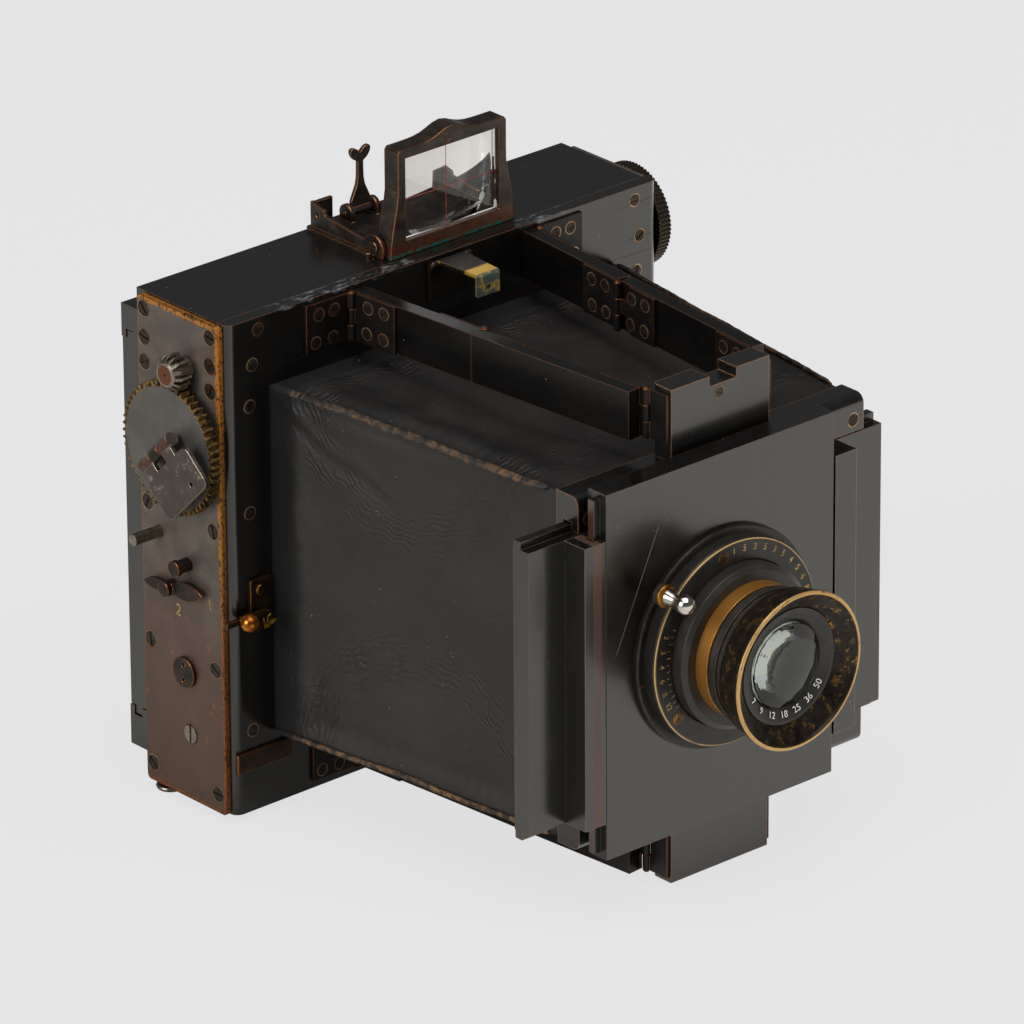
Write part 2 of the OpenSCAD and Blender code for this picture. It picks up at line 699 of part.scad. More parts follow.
module catch_base() color(black_metal) from_front() {
    box([catch_x - 8, -1, catch_z - 12.4], [catch_x + 8, 0, catch_z - 1.6]);
    for (s = [-1, 1]) difference() {
        union() {
            along_x(catch_x + s * 6.9 - 1, catch_y, catch_z) cylinder(r = 1.2, h = 2);
            box([catch_x + s * 6.9 - 1, catch_y, catch_z - 2.2], [catch_x + s * 6.9 + 1, 0, catch_z]);
        }
        along_x(catch_x - 20, catch_y, catch_z) cylinder(r = 0.5 + shaft_gap, h = 40, $fn = 24);
    }
}
// Spring strap that reaches over the upper block and turns down in front of it
module catch_hook() color(worn_brass) from_front() {
    top = catch_z + 1.2;
    tip = -catch_reach;
    difference() {
        union() {
            along_x(catch_x - 5.7, catch_y, catch_z) cylinder(r = 1.2, h = 11.4);
            translate([0, 0, top - 1.2]) linear_extrude(1.2) polygon([[catch_x - 5.7, catch_y],
                [catch_x - catch_w / 2, tip + 2], [catch_x - catch_w / 2, tip - 0.1],
                [catch_x + catch_w / 2, tip - 0.1], [catch_x + catch_w / 2, tip + 2], [catch_x + 5.7, catch_y]]);
            along_x(catch_x - catch_w / 2, tip, top - 1.2) linear_extrude(catch_w) difference() {
                circle(r = 1.2);
                translate([0, -2]) square(4);
            }
            box([catch_x - catch_w / 2, tip - 1.2, top - lip_h], [catch_x + catch_w / 2, tip, top - 1.2 + eps]);
        }
        along_lens(catch_x, tip + 2, top - 0.65 * lip_h) cylinder(r = 0.9, h = 6, $fn = 24);
        along_x(catch_x - 20, catch_y, catch_z) cylinder(r = 0.5, h = 40, $fn = 24);
    }
    along_x(catch_x - 7.9, catch_y, catch_z) cylinder(r = 0.5, h = 15.8, $fn = 24);
}

// Strut bars: origin at the rear pin of each bar, wood on the inner or the outer side of it
module strut_bar(y0, y1, x0) { box([x0, y0, 0], [x0 + bar_t, y1, bar_h]); }
module at_rear_pin(s) { on_side(s) translate([rear_pin_x, rear_pin_y, 0]) rotate(-lean) children(); }
module at_knee(s) { on_side(s) translate([knee_x, knee_y, 0]) rotate(-lean) children(); }
module at_front_pin(s) { on_side(s) translate([front_pin_x, -front_pin_y, 0]) children(); }

// The bars meet at the left knee and stay short of each other at the right knee
module rear_struts(s) color(black_wood) from_front() at_rear_pin(s) both_heights()
    strut_bar(-rear_l + (s < 0 ? butt : bar_end), bar_foot, -pin_off - bar_t);
module front_struts(s) color(black_wood) from_front() at_knee(s) both_heights()
    strut_bar(-front_l + bar_end, -butt, pin_off);
module left_rear_struts() rear_struts(-1);
module right_rear_struts() rear_struts(1);
module left_front_struts() front_struts(-1);
module right_front_struts() front_struts(1);

module body_hinge_leaves() color(black_metal) from_front() for (s = [-1, 1])
    on_side(s) translate([rear_pin_x, rear_pin_y, 0]) both_heights() {
        leaf(leaf_w, bar_h, true);
        hinge_pin(bar_h);
    }
module rear_leaves(s) color(black_metal) from_front() {
    at_rear_pin(s) both_heights() rotate(-90) mirror([0, 1, 0]) leaf(leaf_w, bar_h, false);
    at_knee(s) both_heights() {
        rotate(90) mirror([0, 1, 0]) leaf(leaf_w, bar_h, true);
        if (s < 0) hinge_pin(bar_h); else pin_stubs(bar_h);
    }
}
module front_leaves(s) color(black_metal) from_front() {
    at_knee(s) both_heights() rotate(-90) leaf(leaf_w, bar_h, false, leaf_t, knee_cut);
    at_front_pin(s) both_heights() rotate(-lean) rotate(90) mirror([0, 1, 0]) leaf(leaf_w, bar_h, false);
}
module left_rear_leaves() rear_leaves(-1);
module right_rear_leaves() rear_leaves(1);
module left_front_leaves() front_leaves(-1);
module right_front_leaves() front_leaves(1);
module frame_hinge_leaves() color(black_metal) from_front() for (s = [-1, 1])
    at_front_pin(s) both_heights() {
        rotate(-90) mirror([0, 1, 0]) leaf(9, bar_h, true, front_pin_x - block_w / 2 - (knuckle_r - leaf_t));
        hinge_pin(bar_h);
    }

module front_frame() color(black_wood) from_front() difference() {
    union() {
        box([-frame_w / 2, -frame_y - frame_back_t, frame_z], [frame_w / 2, -frame_y, frame_top]);
        for (s = [-1, 1]) translate([0, 0, mid_z]) mirror([0, 0, s < 0 ? 1 : 0]) frame_member();
    }
    box([-frame_open_w / 2, -frame_y - 5, panel_z + 1.65],
        [frame_open_w / 2, -frame_y + 1, panel_z + panel_h - 1.65]);
}
// Upper or lower member of the frame, with the groove for the tongue of the sliding panel
module frame_member() {
    z0 = panel_h / 2 + slide_gap;
    z1 = frame_h / 2;
    back = -frame_y - frame_back_t;
    difference() {
        along_x(-frame_w / 2, 0, 0) linear_extrude(frame_w) {
            translate([frame_front + 3, z1 - 3]) circle(r = 3);
            translate([frame_front + 3, z0]) square([back - frame_front - 3 + eps, z1 - z0]);
            translate([frame_front, z0]) square([frame_t - 3, z1 - z0 - 3]);
        }
        box([-frame_w, panel_back - slide_gap - tongue_t - 0.2, z0 - 1],
            [frame_w, back + eps, z0 + tongue + slide_gap]);
    }
}

module hinge_block(notched) {
    difference() {
        translate([0, block_y - block_t, 0]) linear_extrude(block_h) {
            translate([-block_w / 2, 0]) square([block_w, block_t - 1.5]);
            translate([-block_w / 2 + 1.5, 0]) square([block_w - 3, block_t]);
            for (s = [-1, 1]) translate([s * (block_w / 2 - 1.5), block_t - 1.5]) circle(r = 1.5);
        }
        if (notched) box([notch_x - notch_w / 2, block_y - block_t - 1, block_h - notch_h],
            [notch_x + notch_w / 2, block_y + 1, block_h + 1]);
    }
}
module top_block() color(black_wood) from_front() translate([0, 0, frame_top]) {
    hinge_block(true);
    difference() {
        along_lens(-0.4, block_y - block_t + 1, block_h - 6.3) cylinder(r = 1.9, h = 1.2);
        box([-4, block_y - block_t - 1, block_h - 6.6], [4, block_y - block_t - 0.02, block_h - 6]);
    }
}
module bottom_block() color(black_wood) from_front() translate([0, 0, frame_z]) mirror([0, 0, 1])
    hinge_block(false);

// Rim of the panel above and below its opening, and how far that opens to each side
panel_rim = 4.15;
panel_left = 29.5;
panel_right = 24.5;
module cross_panel() color(black_wood) from_front() translate([panel_shift, 0, 0]) difference() {
    union() {
        box([-panel_w / 2, panel_y, panel_z], [panel_w / 2, panel_back, panel_z + panel_h]);
        box([-panel_w / 2, panel_back - slide_gap - tongue_t, panel_z - tongue],
            [panel_w / 2, panel_back - slide_gap, panel_z + panel_h + tongue]);
    }
    box([-panel_left, panel_y - 1, panel_z + panel_rim], [panel_right, panel_back + 1, panel_z + panel_h - panel_rim]);
}
module guide_rail(s) {
    x0 = s * (board_w / 2 + 0.6);
    w = s < 0 ? 8.2 : 8.8;
    difference() {
        box([s < 0 ? x0 - w : x0, rail_front, panel_z], [s < 0 ? x0 : x0 + w, panel_y, panel_z + panel_h]);
        box([x0 - (s < 0 ? tongue + slide_gap : 1), board_back - 5.6, panel_z - 1],
            [x0 + (s < 0 ? 1 : tongue + slide_gap), board_back - 2.4, panel_z + panel_h + 1]);
    }
}
module guide_rails() color(black_wood) from_front() translate([board_x, 0, 0]) {
    guide_rail(-1);
    guide_rail(1);
}
module lens_board() color(black_wood) from_front() difference() {
    union() {
        box([board_x - board_w / 2, board_front, board_z],
            [board_x + board_w / 2, board_back, board_z + board_h]);
        box([board_x - board_w / 2 - tongue, board_back - 5.3, board_z + 2],
            [board_x + board_w / 2 + tongue, board_back - 2.7, board_z + board_h - 2]);
    }
    along_lens(lens_x, board_back + 1, lens_z) cylinder(r = hub_r, h = board_t + 2);
}

// Lens pieces are drawn along Z, which then points out of the lens; zero is the face of the board
module at_lens() { along_lens(lens_x, board_front, lens_z) children(); }

module lens_flange() color(black_metal) from_front() at_lens() difference() {
    union() {
        rotate_extrude() polygon([[0, 0], [flange_r, 0], [flange_r, flange_t - 0.4],
            [flange_r - 0.4, flange_t], [0, flange_t]]);
        translate([0, 0, -board_t]) cylinder(r = hub_r - shaft_gap, h = board_t + eps);
    }
    translate([0, 0, -board_t - 1]) cylinder(r = focus_r - 1.6, h = board_t + 9);
}
module scale_plate() color(black_metal) from_front() at_lens() translate([0, 0, flange_t]) {
    difference() {
        rotate_extrude() polygon([[focus_r + 0.3, 0], [scale_r, 0], [scale_r, scale_t - 0.8],
            [scale_r - 0.8, scale_t], [focus_r + 0.3, scale_t]]);
        for (a = scale_screws) rotate(a) translate([scale_screw_at, 0, scale_t - 0.9])
            cylinder(r = 2.05, h = 2, $fn = 32);
    }
    for (i = [0:2]) rotate(scale_screws[i]) translate([scale_screw_at, 0, scale_t - 0.9]) difference() {
        cylinder(r = 2.05, h = 1, $fn = 32);
        rotate(50 * i) translate([-3, -0.3, 0.6]) cube([6, 0.6, 1]);
    }
}
scale_screws = [99.8, 217, 338];
lever_a = 140.3;
lever_r = focus_r + 14;
module focus_ring() color(black_metal) from_front() at_lens() {
    difference() {
        union() {
            translate([0, 0, flange_t + 0.2]) cylinder(r = focus_r, h = focus_t - 1);
            translate([0, 0, flange_t + focus_t - 0.8]) cylinder(r1 = focus_r, r2 = focus_r - 1.6, h = 1.2);
            rotate(lever_a) {
                translate([focus_r - 2, -1.8, flange_t + scale_t + 0.3]) cube([lever_r - focus_r + 2, 3.6, 1.5]);
                translate([lever_r, 0, flange_t + scale_t + 0.3]) cylinder(r = 3.4, h = 1.5);
                translate([lever_r, 0, flange_t + scale_t + 1.8]) cylinder(r1 = 2, r2 = 1.2, h = 7);
            }
        }
        translate([0, 0, -1]) cylinder(r = barrel_r + shaft_gap, h = 30);
    }
    rotate(lever_a) translate([lever_r, 0, flange_t + scale_t + 11]) sphere(r = 3);
}
module lens_barrel() color(worn_brass) from_front() at_lens() difference() {
    union() {
        translate([0, 0, -board_t]) cylinder(r = barrel_r, h = barrel_front + board_t);
        translate([0, 0, -board_t]) cylinder(r = focus_r - 1.6 - shaft_gap, h = 7);
    }
    translate([0, 0, -board_t - 1]) cylinder(r = barrel_bore, h = 40);
}
module iris_ring() color(black_metal) from_front() at_lens() translate([0, 0, barrel_front + 0.2])
    difference() {
        union() {
            cylinder(r = barrel_r - 0.6, h = iris_l);
            translate([0, 0, 1.1]) cylinder(r = barrel_r + 0.3, h = 2.6);
        }
        translate([0, 0, -1]) cylinder(r = cell_r + shaft_gap, h = iris_l + 2);
    }
module lens_hood() color(black_metal) from_front() at_lens() {
    z0 = barrel_front + iris_l + 0.4;
    rotate_extrude() polygon([[barrel_bore, barrel_front], [cell_r, barrel_front], [cell_r, z0],
        [hood_back_r - 2.6, z0], [hood_back_r - 0.9, z0 + 0.6], [hood_back_r, z0 + 2.2],
        [hood_r - 0.6, hood_y - 2.2], [hood_r, hood_y - 1.6], [hood_r, hood_y - 0.4],
        [hood_r - 0.5, hood_y], [hood_r - 1.2, hood_y], [hood_r - 1.7, hood_y - 0.7],
        [ring_r, hood_y - ring_in], [ring_r, z0 + 3], [barrel_bore, z0 + 3]]);
}
module name_ring() color(black_metal) from_front() at_lens() {
    z1 = hood_y - ring_in;
    z0 = barrel_front + iris_l + 3.4;
    rotate_extrude() polygon([[glass_r, z0], [ring_r, z0], [ring_r, z1 + 0.4], [ring_r - 1, z1 + 0.4],
        [glass_r + 1.2, z1 - 1.2], [glass_r, z1 - 2]]);
}
// A lens element: two domes of radius big on a short rim
function dome(r, big) = big - sqrt(big * big - r * r);
module element(r, t, big) {
    h = dome(r, big);
    rotate_extrude() polygon(concat([[0, -h]], [for (i = [1:8]) [r * i / 8, -h + dome(r * i / 8, big)]],
        [for (i = [8:-1:0]) [r * i / 8, t + h - dome(r * i / 8, big)]]));
}
module lens_glass() color(clear_glass) from_front() at_lens() {
    translate([0, 0, barrel_front + iris_l + 4.6]) element(glass_r - 0.02, 1.6, 42);
    translate([0, 0, 4]) element(barrel_bore - 0.02, 2, 50);
}

// Finder: cheek outline in Y and Z, with the ear round the pivot and the upright rear lug
module finder_base() color(dark_metal) from_front() {
    x0 = finder_x - cheek_x - cheek_t - 1.6;
    x1 = finder_x + cheek_x + cheek_t + 1.6;
    translate([0, 0, case_h]) {
        translate([(x0 + x1) / 2, (base_front + base_back) / 2, 0])
            linear_extrude(finder_base_t) round_square(x1 - x0, base_back - base_front, 1.5);
        for (s = [-1, 1]) {
            cx = finder_x + s * (cheek_x + cheek_t / 2);
            difference() {
                along_x(cx - cheek_t / 2, 0, 0) linear_extrude(cheek_t) {
                    polygon([[base_front, 1], [base_back - 1, 1], [base_back - 1, 9.6], [base_back - 7.4, 8.2],
                        [base_back - 8, 6.6], [18, 4.6], [16, 4.4]]);
                    intersection() {
                        translate([finder_pivot_y + 0.6, 2.6]) circle(r = ear_r);
                        translate([0, 0.15]) square([40, 20]);
                    }
                }
                along_x(cx - 2, finder_pivot_y, 3.4) cylinder(r = 1.1 + shaft_gap, h = 4, $fn = 32);
                along_x(cx - 2, base_back - 4.4, 5.9) cylinder(r = 0.8, h = 4, $fn = 24);
            }
            tab_x = s < 0 ? cx - cheek_t / 2 : cx + cheek_t / 2 - 8;
            box([tab_x, base_back - 2.2, 1], [tab_x + 8, base_back - 1, 9.4]);
        }
        for (s = [-1, 1]) difference() {
            along_x(finder_x + sight_x + s * 5.2 - 0.7, 0, 0) linear_extrude(1.4) {
                translate([sight_y, 3.6]) circle(r = 3);
                translate([sight_y - 3, 1]) square([6, 2.6]);
            }
            along_x(finder_x + sight_x - 10, sight_y, 3.6) cylinder(r = 0.7 + shaft_gap, h = 20, $fn = 24);
        }
    }
}
// Outline of the finder frame, seen from the lens side: flared foot and a wave in the top edge
function finder_wave(u) = 3.1 * exp(-pow((u - 0.5) / 0.15, 2));
function finder_side(v) = finder_top_w / 2 + (finder_w - finder_top_w) / 2 *
    (v > 0.62 ? 0 : pow(sin(90 * (0.62 - v) / 0.62), 1.4));
module finder_outline() {
    top = [for (i = [0:16]) [finder_top_w * (i / 16 - 0.5) * 0.96, finder_h - 1.6 + finder_wave(i / 16)]];
    right = [for (i = [0:8]) [finder_side(1 - i / 8), (finder_h - 2.6) * (1 - i / 8)]];
    left = [for (i = [0:8]) [-finder_side(i / 8), (finder_h - 2.6) * i / 8]];
    polygon(concat(top, right, left));
}
window_w = 38.4;
window_h = 27.4;
window_z = 5;
module finder_frame() color(dark_metal) from_front() translate([finder_x, finder_y, case_h + finder_foot]) {
    difference() {
        translate([0, finder_d, 0]) rotate([90, 0, 0]) linear_extrude(finder_d) difference() {
            finder_outline();
            translate([-window_w / 2, window_z]) square([window_w, window_h]);
        }
        box([-window_w / 2 - 1, 2, window_z - 1], [window_w / 2 + 1, finder_d + 1, window_z + window_h + 1]);
    }
    for (s = [-1, 1]) on_side(s)
        along_x(cheek_x - 0.9, finder_pivot_y - finder_y, finder_pivot_z - case_h - finder_foot) {
            cylinder(r = 1.1, h = cheek_t + 1.1, $fn = 32);
            translate([0, 0, cheek_t + 1]) cylinder(r = 2, h = 0.7, $fn = 32);
        }
}
// Plano-concave glass: flat in front, hollow behind
module finder_glass() color(clear_glass) from_front()
    translate([finder_x, finder_y + 2.1, case_h + finder_foot + window_z]) difference() {
        box([-window_w / 2 - 0.9, 0, -0.9], [window_w / 2 + 0.9, 4, window_h + 0.9]);
        translate([0, 1.4 + 74, window_h / 2]) sphere(r = 74, $fn = 240);
    }
// Half width of the sight, from its broad foot to the neck below its forked tail
function sight_half(v) = v < 0.2 ? 3.9 : 1.05 + 2.85 * exp(-pow((v - 0.2) / 0.24, 2));
module finder_sight() color(dark_metal) from_front()
    translate([finder_x + sight_x, sight_y + 0.6, sight_z]) {
        rotate([90, 0, 0]) linear_extrude(1.2) {
            difference() {
                polygon(concat([for (i = [0:8]) [sight_half(i / 8), -1 + (sight_h - 4) * i / 8]],
                    [for (i = [8:-1:0]) [-sight_half(i / 8), -1 + (sight_h - 4) * i / 8]]));
                translate([0, -1.2]) circle(r = 1.9);
            }
            for (s = [-1, 1]) translate([0, sight_h - 5.6]) rotate(-44 * s) translate([0, 2.4]) scale([0.55, 1])
                circle(r = 2.9);
        }
        along_x(-6.4, -0.6, 0) cylinder(r = 0.7, h = 12.8, $fn = 24);
        along_x(-4, -0.6, 0) cylinder(r = 1.5, h = 8, $fn = 24);
    }

// Plain leather bag, open at both ends
module bellows() color(leather) from_front() difference() {
    bag(bellows_w, bellows_front_w, bellows_h, 0, frame_y);
    bag(bellows_w - 2 * leather_t, bellows_front_w - 2 * leather_t, bellows_h - 2 * leather_t, -1, frame_y + 1);
}
module bag(w0, w1, h, y0, y1) {
    ends = [for (e = [[w0, -y0], [w1, -y1]], c = [[-1, -1], [1, -1], [1, 1], [-1, 1]])
        [c[0] * e[0] / 2, e[1], mid_z + c[1] * h / 2]];
    polyhedron(ends, [[0, 1, 2, 3], [7, 6, 5, 4], [4, 5, 1, 0], [5, 6, 2, 1], [6, 7, 3, 2], [7, 4, 0, 3]]);
}

case_frame();
front_board();
gate_board();
left_plate();
right_plate();
plate_screws();
front_screws();
back_rail_top();
back_rail_bottom();
tripod_bush();
strap_studs();
plate_holder();
dark_slide();
upper_roller();
pinion();
tension_knob();
lower_roller();
shutter_blind();
winding_gear();
winding_arbor();
winding_key();
selector_lever();
selector_stop();
release_plunger();
spanner_nut();
release_bracket();
release_lever();
stop_strip();
catch_base();
catch_hook();
body_hinge_leaves();
left_rear_struts();
left_front_struts();
right_rear_struts();
right_front_struts();
left_rear_leaves();
left_front_leaves();
right_rear_leaves();
right_front_leaves();
frame_hinge_leaves();
front_frame();
top_block();
bottom_block();
cross_panel();
guide_rails();
lens_board();
lens_flange();
scale_plate();
focus_ring();
lens_barrel();
iris_ring();
lens_hood();
name_ring();
lens_glass();
finder_base();
finder_frame();
finder_glass();
finder_sight();
bellows();
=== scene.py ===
import math

import bmesh
import bpy
from mathutils import Matrix, Vector, noise


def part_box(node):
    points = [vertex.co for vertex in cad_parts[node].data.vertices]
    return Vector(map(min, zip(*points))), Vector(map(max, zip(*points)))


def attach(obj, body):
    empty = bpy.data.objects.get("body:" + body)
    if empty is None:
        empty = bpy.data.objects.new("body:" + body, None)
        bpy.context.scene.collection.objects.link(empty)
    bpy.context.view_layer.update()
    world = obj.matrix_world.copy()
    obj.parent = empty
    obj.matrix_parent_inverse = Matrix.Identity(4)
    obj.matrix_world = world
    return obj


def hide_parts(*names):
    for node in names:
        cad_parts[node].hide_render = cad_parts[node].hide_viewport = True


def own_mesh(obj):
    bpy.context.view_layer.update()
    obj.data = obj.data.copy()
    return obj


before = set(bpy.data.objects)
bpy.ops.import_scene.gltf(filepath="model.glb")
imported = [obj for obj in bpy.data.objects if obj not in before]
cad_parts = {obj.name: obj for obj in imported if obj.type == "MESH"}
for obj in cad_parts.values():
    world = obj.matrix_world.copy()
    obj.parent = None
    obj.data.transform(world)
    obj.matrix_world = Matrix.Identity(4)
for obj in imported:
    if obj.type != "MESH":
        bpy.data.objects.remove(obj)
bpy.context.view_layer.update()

# Lengths are in millimetres of the model, and colours are sRGB hex values
MM = 0.001
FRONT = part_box("front_board")[0][1]
FORE = FRONT / MM


def at(x, y, z):
    """A place in metres from millimetres, with y counted from the front face of the case."""
    return Vector((x * MM, y * MM + FRONT, z * MM))


# Camera of the photograph, fitted to edges of the object
CAMERA_TURN = math.radians(41.355)
CAMERA_RISE = math.radians(24.151)
CAMERA_ROLL = math.radians(-0.379)
CAMERA_FAR = 3.0455
CAMERA_LENS = 350.5
CAMERA_AIM = at(-25.44, -60, 104.96)


def place_camera():
    """Looks at the object from its left front, a little above, with the long lens of the photograph."""
    sin_t, cos_t = math.sin(CAMERA_TURN), math.cos(CAMERA_TURN)
    sin_r, cos_r = math.sin(CAMERA_RISE), math.cos(CAMERA_RISE)
    forward = Vector((sin_t * cos_r, cos_t * cos_r, -sin_r))
    right = Vector((cos_t, -sin_t, 0))
    up = right.cross(forward)
    rolled_right = right * math.cos(CAMERA_ROLL) + up * math.sin(CAMERA_ROLL)
    rolled_up = up * math.cos(CAMERA_ROLL) - right * math.sin(CAMERA_ROLL)
    lens = bpy.data.cameras.new("view")
    lens.lens = CAMERA_LENS
    lens.sensor_width = 36
    lens.clip_start, lens.clip_end = 0.1, 50
    camera = bpy.data.objects.new("view", lens)
    turned = Matrix((rolled_right, rolled_up, -forward)).transposed().to_4x4()
    camera.matrix_world = Matrix.Translation(CAMERA_AIM - forward * CAMERA_FAR) @ turned
    bpy.context.scene.collection.objects.link(camera)
    bpy.context.scene.camera = camera


def linear(hex_colour):
    """Turns an sRGB hex colour into linear light."""
    parts = [int(hex_colour[i:i + 2], 16) / 255 for i in (1, 3, 5)]
    return tuple(p / 12.92 if p <= 0.04045 else ((p + 0.055) / 1.055) ** 2.4 for p in parts) + (1.0,)


# Short names for the nodes used most: kind, settings, the inputs that are filled in order, and the output
SUMS = {"times": "MULTIPLY", "plus": "ADD", "minus": "SUBTRACT", "most": "MAXIMUM", "below": "LESS_THAN",
        "above": "GREATER_THAN", "size": "ABSOLUTE", "root": "SQRT", "wave": "SINE"}
SHORT = {word: ("Math", {"operation": kind}, (0, 1), 0) for word, kind in SUMS.items()}
SHORT.update({axis: ("SeparateXYZ", {}, (0,), axis) for axis in "XYZ"})
SHORT["ease"] = ("MapRange", {"interpolation_type": "SMOOTHSTEP"}, (0, 1, 2, 3, 4), 0)
SHORT["paint"] = ("Mix", {"data_type": "RGBA"}, (0, 6, 7), 2)
SHORT["mix"] = ("Mix", {"data_type": "FLOAT"}, (0, 2, 3), 0)


def add(tree, kind, *values, out=0, **settings):
    """Adds a node with its settings, fills its inputs with values or links, and gives back one output.

    The inputs of a short name are filled in order, those of any other node from a dict. With out None
    the node itself comes back."""
    kind, settings, order, out = SHORT.get(kind, (kind, settings, None, out))
    node = tree.nodes.new("ShaderNode" + kind)
    for key, value in settings.items():
        setattr(node, key, value)
    for key, value in zip(order, values) if order else dict(*values).items():
        if isinstance(value, bpy.types.NodeSocket):
            tree.links.new(value, node.inputs[key])
        else:
            node.inputs[key].default_value = linear(value) if isinstance(value, str) else value
    return node if out is None else node.outputs[out]


def new_material(name):
    """An empty node material and its tree."""
    material = bpy.data.materials.new(name)
    material.use_nodes = True
    material.node_tree.nodes.clear()
    return material, material.node_tree


def millimetres(tree):
    """The place on the object, in millimetres."""
    metres = add(tree, "TexCoord", out="Object")
    return add(tree, "VectorMath", {0: metres, "Scale": 1 / MM}, operation="SCALE")


def cloud(tree, place, size, detail=4.0, stretch=(1, 1, 1), rough=0.55):
    """Cloudy unevenness in lumps about size wide, drawn out along the axes where stretch is high."""
    drawn = add(tree, "Mapping", {"Vector": place, "Scale": tuple(1 / s for s in stretch)})
    return add(tree, "TexNoise", {"Vector": drawn, "Scale": 1 / size, "Detail": detail, "Roughness": rough})


def near(tree, value, middle, half, soft):
    """1 within half of the middle, easing to 0 over soft."""
    return add(tree, "ease", add(tree, "size", add(tree, "minus", value, middle)), half + soft, half)


def off_axis(tree, place, across, middle):
    """Distance from an axis through middle; across names the two directions it is measured in."""
    away = [add(tree, "minus", add(tree, axis, place), value) for axis, value in zip(across, middle)]
    return add(tree, "root", add(tree, "plus", *(add(tree, "times", a, a) for a in away)))


def middle_of(node):
    """Middle of a solid in Y and Z, in millimetres."""
    low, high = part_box(node)
    return (low[1] + high[1]) / 2 / MM, (low[2] + high[2]) / 2 / MM


def specks(tree, place, apart, size, share):
    """Single specks of dust: a small spot in some of the cells of a pattern."""
    cells = add(tree, "TexVoronoi", {"Vector": place, "Scale": 1 / apart, "Randomness": 1.0}, out=None)
    spot = add(tree, "ease", cells.outputs["Distance"], size / apart, 0.4 * size / apart)
    chosen = add(tree, "ease", add(tree, "X", cells.outputs["Color"]), 1.0 - share, 1.01 - share)
    return add(tree, "times", spot, chosen)


def worn_finish(name, skin, skin_alt, bare, metal=(0.6, 1.0), rough=(0.4, 0.34), edge=(0.5, 0.5),
                patch=(0.0, 9.0), scratch=0.3, scratch_colour=None, grain=(0.5, 0.012), stretch=(1, 1, 1),
                shine=0.5, coat=0.0, marks=None):
    """A thin finish over bare material, rubbed through along its edges, in patches and in fine scratches.

    metal and rough are each for the finish and for what is bare. edge is the width and the strength of the
    rubbing, patch the share of bare patches and the width of their clouds, grain its width and depth. marks
    may take (tree, place, colour, rough) and give both back changed, for marks in known places."""
    material, tree = new_material(name)
    place = millimetres(tree)
    normal = add(tree, "NewGeometry", out="Normal")
    rounded = add(tree, "Bevel", {"Radius": edge[0] * MM}, samples=6)
    flatness = add(tree, "VectorMath", {0: normal, 1: rounded}, out="Value", operation="DOT_PRODUCT")
    breakup = cloud(tree, place, 2.2, 6.0, rough=0.7)
    wide = cloud(tree, place, patch[1], 5.0, stretch, 0.65)
    rubbing = add(tree, "times", add(tree, "ease", flatness, 0.998, 0.86),
                  add(tree, "plus", breakup, edge[1]))
    lost = add(tree, "ease", rubbing, 0.55, 0.8)
    if patch[0]:
        balding = add(tree, "plus", wide, add(tree, "times", breakup, 0.25))
        bald = add(tree, "ease", balding, 0.98 - 0.35 * patch[0], 1.06 - 0.35 * patch[0])
        lost = add(tree, "most", lost, bald)
    # Thin wandering scratches lie where a cloudy pattern crosses its middle value
    hairs = near(tree, cloud(tree, place, 5.0, 2.0, (1, 6, 1), 0.4), 0.5, 0.0, 0.01)
    scratches = add(tree, "times", hairs, add(tree, "ease", cloud(tree, place, 14.0, 3.0), 0.52, 0.62))
    scratches = add(tree, "times", scratches, 0.5 * scratch)
    colour = add(tree, "paint", add(tree, "ease", wide, 0.38, 0.66), skin, skin_alt)
    colour = add(tree, "paint", scratches, colour, scratch_colour or bare)
    colour = add(tree, "paint", lost, colour, bare)
    dull = add(tree, "mix", lost, add(tree, "plus", rough[0] - 0.1, add(tree, "times", wide, 0.2)), rough[1])
    if marks:
        colour, dull = marks(tree, place, colour, dull)
    relief = add(tree, "minus", cloud(tree, place, grain[0], 3.0, stretch),
                 add(tree, "times", add(tree, "plus", lost, scratches), 0.6))
    bump = add(tree, "Bump", {"Height": relief, "Distance": grain[1] * MM, "Strength": 1.0,
                              "Normal": rounded})
    metallic = metal[0] if metal[0] == metal[1] else add(tree, "mix", lost, *metal)
    shader = add(tree, "BsdfPrincipled", {"Base Color": colour, "Roughness": dull, "Metallic": metallic,
                                          "Normal": bump, "Specular IOR Level": shine, "Coat Weight": coat,
                                          "Coat Roughness": 0.18})
    add(tree, "OutputMaterial", {"Surface": shader}, out=None)
    return material


def dust(tree, place, colour, rough):
    """Thin drifts and single specks of dust, as they lie on a black polish."""
    dusty = add(tree, "ease", cloud(tree, place, 26.0, 5.0, rough=0.7), 0.56, 0.74, 0.0, 0.12)
    colour = add(tree, "paint", dusty, colour, "#3a3734")
    colour = add(tree, "paint", add(tree, "times", specks(tree, place, 5.0, 0.32, 0.22), 0.6), colour,
                 "#8b8a88")
    return colour, add(tree, "plus", rough, add(tree, "times", dusty, 0.8))


# Painted highlight in pale streaks along the top edge beside the finder, and the cracks from the right screws
# of the front by height and start
EDGE_HIGHLIGHT_SPANS = ((-38.0, 22.0, 12.0), (42.0, 4.0, 9.0))
CRACKS = ((147.6, 75.0), (142.6, 68.0), (159.6, 72.0))


